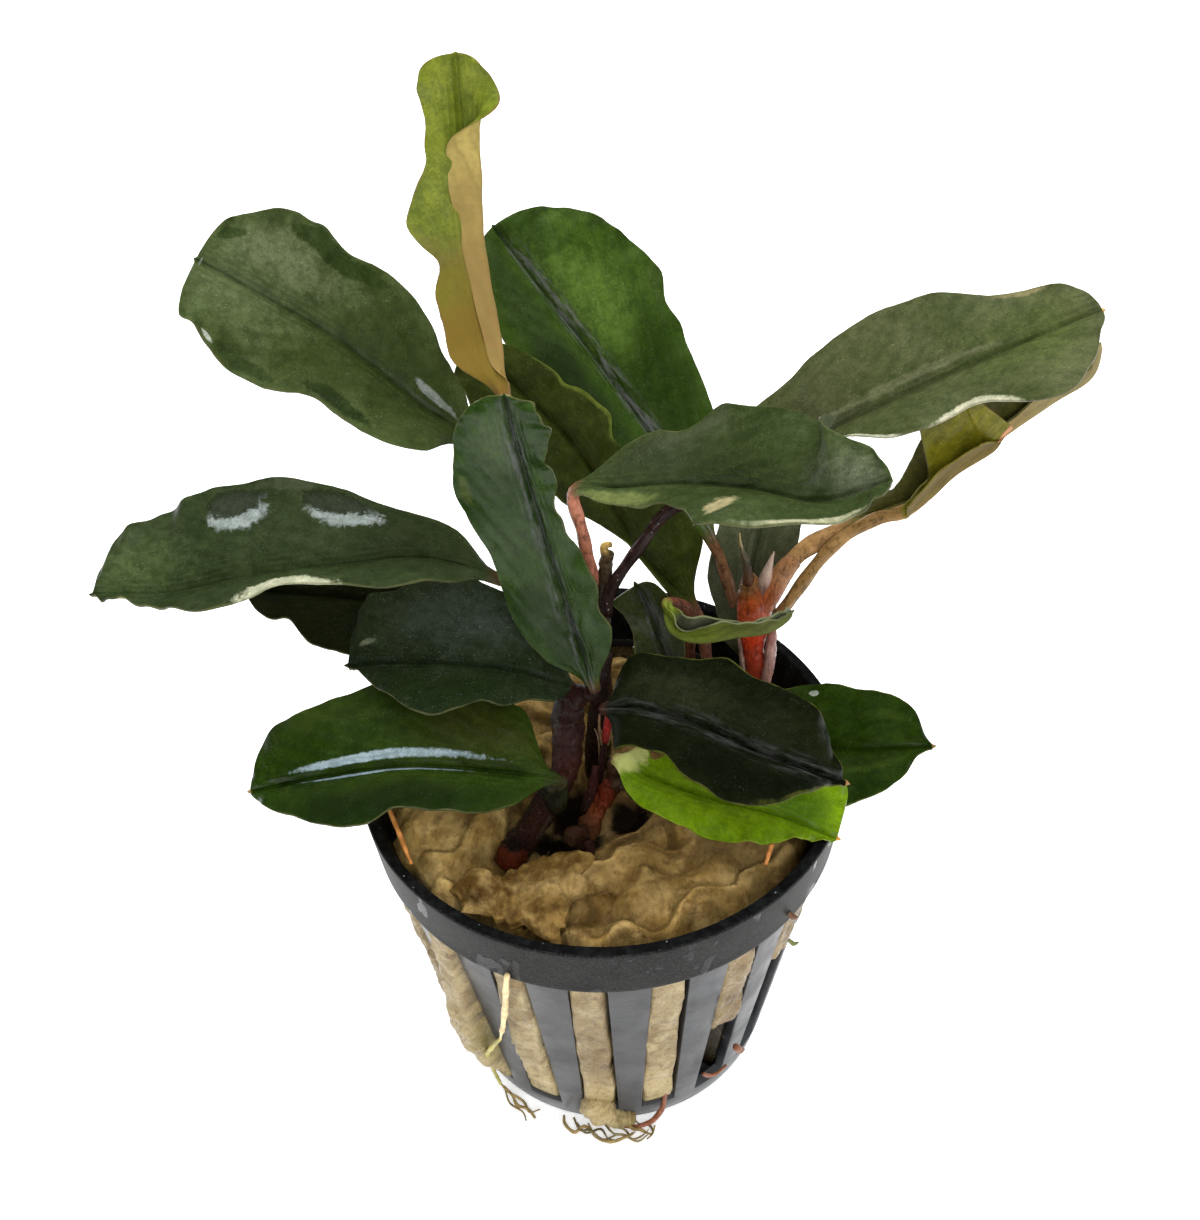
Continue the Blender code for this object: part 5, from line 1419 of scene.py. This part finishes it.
def wool_material():
    g = Graph("wet_rockwool")
    z = g.split(g.place)[2]
    dark, wet, olive = g.read("tint")
    patches = g.fade(g.noise(3.5, 4, 0.6), 0.38, 0.62)
    top = g.mix(patches, (0.52, 0.36, 0.135), (0.34, 0.215, 0.062))
    # Wet wool, and painted shade in the cleft beside the flap.
    soaked_and_shaded = wet * g.fade(g.noise(2.2, 3), 0.3, 0.6, 0.6, 1.0)
    top = g.mix(soaked_and_shaded, top, (0.070, 0.036, 0.006))
    patches = g.fade(g.noise(2.6, 4, 0.6), 0.36, 0.62)
    side = g.mix(patches, (0.42, 0.33, 0.170), (0.28, 0.20, 0.085))
    side = g.mix(wet, side, (0.17, 0.105, 0.038))
    side = g.mix(g.fade(z, 0.018, 0.008, 0.0, 0.7), side, (0.56, 0.44, 0.22))
    side = g.mix(olive, side, (0.20, 0.17, 0.03))
    colour = g.mix(g.fade(z, 0.0350, 0.0375), side, top)
    strands = g.noise(0.5, 5, 0.7, g.stretch((1, 0.45, 1)), 0.7)
    colour = g.dim(g.fade(strands, 0.47, 0.66, 0.0, 0.55), colour, (0.45, 0.40, 0.33))
    # Fine flecks painted lighter, as lit fibres.
    light = g.fade(g.noise(0.22, 4, 0.75, None, 2.0), 0.52, 0.70, 0.0, 0.5)
    colour = g.dim(light, colour, (1.9, 1.85, 1.9))
    # Painted shade from the mesh: hollows, creases, the back and the inside of the pot.
    colour = g.mix(dark, colour, (0.006, 0.0035, 0.002))
    rough = g.fade(g.noise(1.7, 4, 0.6), 0.36, 0.62, 0.26, 0.55)
    ridges = g.noise(2.2, 4, 0.62, g.stretch((0.8, 0.5, 1)), 0.8)
    # Painted shade in the low parts of the folds.
    colour = g.dim(g.fade(ridges, 0.50, 0.38, 0.0, 0.5), colour, (0.45, 0.36, 0.25))
    normal = g.bump(ridges, 0.16)
    normal = g.bump(strands, 0.16, 1.0, normal)
    normal = g.bump(g.noise(0.2, 4, 0.7, None, 1.0), 0.08, 1.0, normal)
    return g.finish(colour, rough, normal, Specular_IOR_Level=0.40)


def wool_tint(points, is_top, crease):
    """How much painted shade, how wet and brown and how olive the wool is at each point."""
    x, y, z = points.T
    radius = np.hypot(x, y)
    at_x, at_y, wide, deep = PALE_WOOL
    pale = bell((x - at_x) / wide, (y - at_y) / deep)
    broad = 0.45 * fractal(points, 7.0, 3, 25)
    low = 0.35 * smooth_step((14.0 - z) / 9.0) * (0.5 + 0.6 * fractal(points, 3.0, 3, 24))
    wet = np.where(is_top, (0.76 + broad) * (1 - pale), low)
    for at_x, at_y, wide, deep, strength in WET_AND_SHADED_WOOL:
        wet = np.maximum(wet, strength * bell((x - at_x) / wide, (y - at_y) / deep))
    # Painted shade: black in the hollows, where the surface falls away behind, along the creases,
    # and on the wool inside the pot behind the ribs.
    dark = np.zeros(len(points))
    ragged = 0.5 * fractal(points, 1.6, 3, 21)
    for at_x, at_y, reach in SHADOWED_HOLLOWS:
        away = np.hypot(x - at_x, y - at_y) + ragged
        dark = np.maximum(dark, 1 - smooth_step((away - reach + 0.5) / 1.1))
    dark = np.maximum(dark, 0.92 * smooth_step((behind(x, y) - 16.5) / 3.0))
    dark = np.where(is_top, np.maximum(dark, 0.4 * crease), 0.0)
    inside = ~is_top & (radius < wall_radius(z) - 0.75)
    dark = np.where(inside, 0.93, dark)
    patch = bell((x + 13.2) / 2.2, (z - 14.0) / 6.5) * (y < -10)
    foot = bell((z - 4.0) / 2.4) * 0.7 * (y < 0)
    olive = np.maximum(patch, foot) * (0.6 + 0.5 * fractal(points, 2.0, 2, 22))
    olive = np.where(is_top, 0.0, olive)
    return np.stack((dark, np.clip(wet, 0, 1), np.clip(olive, 0, 1)), 1)


def make_wool():
    material = wool_material()
    pitch, first = 2 * math.pi / SLOTS, math.radians(FRONT_SLOT_ANGLE)
    angle = np.arange(SLOTS * PLUG_COLUMNS) * pitch / PLUG_COLUMNS + first
    number = np.round((angle - first) / pitch)
    centre = number * pitch + first
    low, high = SLOT_FOOT_Z + GAP, POT_HEIGHT - COLLAR_HEIGHT - GAP
    empty = np.array([EMPTY_BELOW.get(int(k) % SLOTS, -9.0) for k in number])

    def ring(z, share_out):
        inside = wall_radius(z) - WALL - GAP
        line = np.stack((centre * 9, np.full(len(angle), z / 5.0), centre * 0), 1)
        wander = 0.22 * fractal(line, 1.0, 2, 5)
        across = np.abs((angle - centre) * wall_radius(z) + 0.16 + wander)
        in_slot = smooth_step((SLOT_WIDTH / 2 + 0.12 - across) / 0.5) ** 0.5
        gone = smooth_step((empty - z) / 2.5)
        proud = WALL + GAP + slot_bulge(centre, z) * (1 - (across / 3.2) ** 2)
        reach = inside + share_out * in_slot * (1 - gone) * proud
        reach = reach - 1.4 * gone * in_slot
        return np.concatenate((toward(angle) * reach[:, None], np.full((len(angle), 1), z)), 1)

    rows = [ring(PLUG_FOOT_Z, 0)]
    for share in np.linspace(0.0, 1.0, PLUG_SIDE_ROWS):
        swell = math.sin(math.pi * min(max(share, 0.002), 0.998)) ** 0.1
        rows.append(ring(low + (high - low) * share, swell))
    brim = rows[-1]
    for share in np.linspace(0.995, 0.02, PLUG_TOP_ROWS):
        x, y = brim[:, 0] * share, brim[:, 1] * share
        # The surface meets the wall in a soft turn.
        z = plug_top(x, y) - 1.6 * smooth_step((share - 0.9) / 0.1) ** 2
        rows.append(np.stack((x, y, z), 1))
    points = np.concatenate(rows)
    sides = len(angle)
    is_top = np.repeat(np.arange(len(rows)) > PLUG_SIDE_ROWS, sides)
    # Felt-like folds: round hills that meet in sharp creases, and fine tufts over all.
    warp = 1.3 * np.stack([fractal(points, 5.0, 2, seed) for seed in (31, 32, 33)], 1)
    folds = np.abs(fractal((points + warp) * (1.0, 1.3, 0.6), 8.0, 2, 13))
    # Torn layers: the felt drops in low cliffs from one sheet to the next.
    layers = 1.9 * fractal((points + 0.6 * warp) * (1.0, 1.4, 0.6), 10.0, 3, 15, 0.42) + 8.0
    step = layers - np.floor(layers)
    terrace = np.floor(layers) - 8.0 + smooth_step(step / 0.28)
    squeeze = np.where(is_top[:, None], (1.0, 1.7, 0.8), (1.0, 1.0, 0.5))
    small = np.abs(fractal((points + warp) * squeeze, 2.6, 3, 14))
    fine = fractal(points, 0.9, 3, 12)
    out = np.zeros_like(points)
    out[:, 2] = is_top
    out[:, :2] = ~is_top[:, None] * unit(points[:, :2] + 1e-9)
    radius = np.hypot(points[:, 0], points[:, 1])
    calm = np.where(is_top, smooth_step((23.0 - radius) / 2.5), 0.0)
    proud = smooth_step((radius - wall_radius(points[:, 2]) + 0.4) / 0.6) * ~is_top
    hills = np.minimum(folds, 0.9) ** 0.8 - 0.5 + 0.9 * terrace + 0.25 * np.minimum(small, 0.8)
    amount = calm * (hills - 0.1) + (0.09 * calm + 0.16 * proud) * fine
    amount = amount + proud * 0.5 * (small - 0.25)
    # Creases of the terraces and folds, where shade is painted.
    crease = bell((step - 0.02) / 0.09) + 0.5 * bell(folds / 0.06)
    tint = wool_tint(points, is_top, np.minimum(crease, 1.0))
    # Paler along the tops of the terraces, painted as lit.
    lit = np.where(is_top, bell((step - 0.34) / 0.10), 0.0)
    tint[:, 1] = np.clip(tint[:, 1] - 0.55 * lit, 0, 1)
    points = points + out * amount[:, None]
    ends = ((0, 0, PLUG_FOOT_Z), (0, 0, points[-sides:, 2].mean()))
    faces = tube_faces(len(rows), sides)
    closed = np.concatenate((points, ends))
    obj = mesh_object("rockwool_plug", closed, faces, [material], None, ("rockwool",))
    store(obj, "tint", np.concatenate((tint, ((0, 0, 0), (0, 0.5, 0)))))
    make_flap(material)
    make_tuft(material)
    make_fibres(points, is_top, tint)


# The torn flap of wool in front of the stems: rows from the stems to the rim, left to right.
FLAP = (((-14.1, -14.1, 41), (-12.2, -14.3, 42.4), (-10.4, -15, 41.4), (-6.1, -12.4, 41.9),
         (-3.6, -12.6, 42.3), (-1.6, -13.4, 42.8)),
        ((-14.5, -15.5, 40.9), (-12.2, -16.1, 42.3), (-9.6, -16.6, 41.4), (-6.1, -15.5, 42),
         (-3.6, -16.2, 42.6), (-2.2, -16.2, 42.9)),
        ((-14.7, -16.6, 40.6), (-12.8, -17.1, 41.6), (-9.5, -18.3, 41.3), (-6.3, -18.6, 41.9),
         (-4.3, -18.9, 42.3), (-3.4, -18.9, 42.4)),
        ((-14.5, -17.4, 40.2), (-12.5, -18.3, 40.6), (-9.6, -19.8, 40.9), (-7.1, -21.4, 41.5),
         (-5.7, -22.3, 41.9), (-5, -22.3, 41.9)))
FLAP_THICKNESS = 1.1
FLAP_COLUMNS = 90
FLAP_ROWS = 70
# The tuft of wool that hangs out below the front slot.
TUFT = ((-3, -17.9, 6), (-2.5, -18.4, 4.6), (-1.6, -18.7, 3.2), (0.2, -18.7, 2.2),
        (1.6, -18.4, 1.6))
FIBRES = 420


def make_tuft(material):
    points, faces, _ = tube(TUFT, (1.3, 1.6, 1.4, 0.9, 0.5), 60, 60, 0.4, 1.6, 60, 0.15, 0.7)
    obj = mesh_object("rockwool_tuft", points, faces, [material], None, ("rockwool",))
    low = smooth_step((4.0 - points[:, 2]) / 3.0)
    # Painted shade on the lower part of its left side, and wetter and olive towards its foot.
    tint = np.stack((0.25 * low * (points[:, 0] < 1.0), 0.5 + 0.2 * low, 0.75 * low), 1)
    store(obj, "tint", tint)


def make_flap(material):
    rows, columns = FLAP_ROWS, FLAP_COLUMNS
    u, v = np.linspace(0, 5, columns), np.linspace(0, 3, rows)
    across = spline(np.moveaxis(np.array(FLAP), 1, 0), u)
    sheet = spline(np.moveaxis(across, 1, 0), v)
    normal = unit(np.cross(np.gradient(sheet, axis=1), np.gradient(sheet, axis=0)))
    normal = normal * np.sign(normal[..., 2:])
    share_u, share_v = np.meshgrid(u / 5, v / 3)
    edge = np.minimum(np.minimum(share_u, 1 - share_u) * 12, np.minimum(share_v, 1 - share_v) * 9)
    round_off = np.sqrt(np.clip(edge / 0.5, 0, 1))
    flat = sheet.reshape(-1, 3)
    folds = np.abs(fractal(flat * (1.0, 0.5, 1.0), 3.4, 3, 51)).reshape(share_u.shape)
    fine = fractal(flat, 0.8, 3, 52).reshape(share_u.shape)
    ragged = fractal(flat, 1.3, 3, 53).reshape(share_u.shape)
    rise = (0.35 * np.minimum(folds, 0.8) - 0.1 + 0.05 * fine) * round_off
    pull = 0.8 * ragged * (1 - np.clip(edge / 2, 0, 1))
    sheet = sheet + unit(sheet - sheet.mean((0, 1))) * pull[..., None] * (1, 1, 0)
    top = sheet + normal * (rise + FLAP_THICKNESS / 2 * round_off)[..., None]
    low = sheet - normal * (FLAP_THICKNESS / 2 * round_off)[..., None]
    points = np.concatenate((top.reshape(-1, 3), low.reshape(-1, 3)))
    faces = []
    half = rows * columns
    for i in range(rows - 1):
        for a in range(i * columns, (i + 1) * columns - 1):
            b = a + columns
            faces.append((a, b, b + 1, a + 1))
            faces.append((half + a, half + a + 1, half + b + 1, half + b))
    rim = list(range(columns))
    rim += [i * columns + columns - 1 for i in range(1, rows)]
    rim += [(rows - 1) * columns + j for j in range(columns - 2, -1, -1)]
    rim += [i * columns for i in range(rows - 2, 0, -1)]
    for a, b in zip(rim, rim[1:] + rim[:1]):
        faces.append((a, b, half + b, half + a))
    obj = mesh_object("rockwool_flap", points, faces, [material], None, ("rockwool",))
    # Painted shade in the flap's creases.
    dark = 0.35 * bell(folds / 0.06)
    wet = 0.86 + 0.3 * fine + 0.3 * smooth_step(1.4 - share_v * 3)
    tint = np.stack((dark, np.clip(wet, 0, 1), np.zeros_like(dark)), -1).reshape(-1, 3)
    store(obj, "tint", np.concatenate((tint, tint)))


def make_fibres(points, is_top, tint):
    """Loose fibres that stand out of the wool."""
    rng = random.Random(5)

    def draws(count, low, high):
        return np.array([rng.uniform(low, high) for _ in range(count)])

    shown = [i for i in range(len(points)) if tint[i, 0] < 0.3 and (is_top[i] or points[i, 1] < 12)]
    parts = []
    for _ in range(FIBRES):
        at = points[rng.choice(shown)]
        if is_top_point(at):
            lean = np.array((rng.uniform(-1, 1), rng.uniform(-1, 1), rng.uniform(0.0, 0.7)))
        else:
            lean = np.array((at[0] / 20, at[1] / 20, rng.uniform(-1.2, 0.6))) + draws(3, -0.5, 0.5)
        lean = unit(lean)
        bend = draws(3, -1, 1) * 0.5
        length = rng.uniform(0.8, 2.2)
        middle, end = at + lean * 0.45 * length, at + lean * length * 0.8
        path = (at - lean * 0.2, middle + bend * 0.15, end + bend * 0.6)
        parts.append(tube(path, (0.022, 0.018, 0.01), 7, 4)[:2])
    points, faces = joined(parts)
    g = Graph("loose_fibre")
    colour = g.mix(g.fade(g.noise(4, 3), 0.4, 0.6), (0.26, 0.18, 0.08), (0.14, 0.09, 0.035))
    material = g.finish(colour, 0.5)
    mesh_object("rockwool_fibres", points, faces, [material], None, ("rockwool",))


def is_top_point(at):
    on_top = at[2] > POT_HEIGHT - COLLAR_HEIGHT - 0.5
    return on_top and math.hypot(at[0], at[1]) < RIM_INNER_RADIUS - 0.5


# ---------------------------------------------------------------- stage

FOCAL_PIXELS = 1500
PHOTO_HEIGHT = 1220
SENSOR_MM = 36.0
PLANT_MIDDLE = Vector((0, 0, 0.06))


def make_stage():
    mesh = bpy.data.meshes.new("floor")
    size = 3.0
    corners = [(-size, -size, 0), (size, -size, 0), (size, size, 0), (-size, size, 0)]
    mesh.from_pydata(corners, [], [(0, 1, 2, 3)])
    g = Graph("pale_floor")
    white = (1.0, 1.0, 1.0)
    material = g.finish((0.92, 0.92, 0.92), 0.6, Emission_Color=white, Emission_Strength=0.42)
    mesh.materials.append(material)
    floor = bpy.data.objects.new("floor", mesh)
    scene.collection.objects.link(floor)


def add_area(name, at, size, power):
    """A square lamp that lights the plant's middle, and isn't seen in its gloss."""
    light = bpy.data.lights.new(name, "AREA")
    light.shape = "RECTANGLE"
    light.size = light.size_y = size
    light.energy = power
    obj = bpy.data.objects.new(name, light)
    obj.location = at
    obj.rotation_euler = (PLANT_MIDDLE - Vector(at)).to_track_quat("-Z", "Y").to_euler()
    obj.visible_glossy = False
    scene.collection.objects.link(obj)


def make_light():
    world = bpy.data.worlds.new("studio")
    g = Graph(world, "Background", "Generated")
    g.put(g.shader.inputs["Strength"], g.fade(g.split(g.place)[1], -0.75, 0.6, 0.03, 0.14))
    g.put(g.shader.inputs["Color"], (0.97, 0.985, 1.0))
    scene.world = world
    add_area("fill_top", (0.0, 0.25, 0.9), 1.0, 17.0)
    add_area("fill_front", (0.15, -0.75, 0.75), 0.9, 10.5)
    scene.view_settings.view_transform = "Standard"


def make_camera():
    """The photo's camera, as worked out from the pot's rim, collar, foot and slots."""
    data = bpy.data.cameras.new("camera")
    data.sensor_width = SENSOR_MM
    data.lens = FOCAL_PIXELS / PHOTO_HEIGHT * SENSOR_MM
    data.clip_start = 0.01
    data.clip_end = 50.0
    camera = bpy.data.objects.new("camera", data)
    right = Vector((0.99895, -0.03263, -0.03202))
    down = Vector((-0.04567, -0.67903, -0.73268))
    ahead = Vector((0.002168, 0.73338, -0.67981))
    turn = Matrix((right, -down, -ahead)).transposed().to_4x4()
    camera.matrix_world = Matrix.Translation((0.0, -0.103073, 0.157789)) @ turn
    scene.collection.objects.link(camera)
    scene.camera = camera


make_camera()
make_light()
make_stage()
make_pot()
make_collar()
make_wool()
make_stems()
make_roots()
for number, (name, leaf) in enumerate(LEAVES.items()):
    make_leaf(name, leaf, 100 + 10 * number)

bpy.context.view_layer.update()
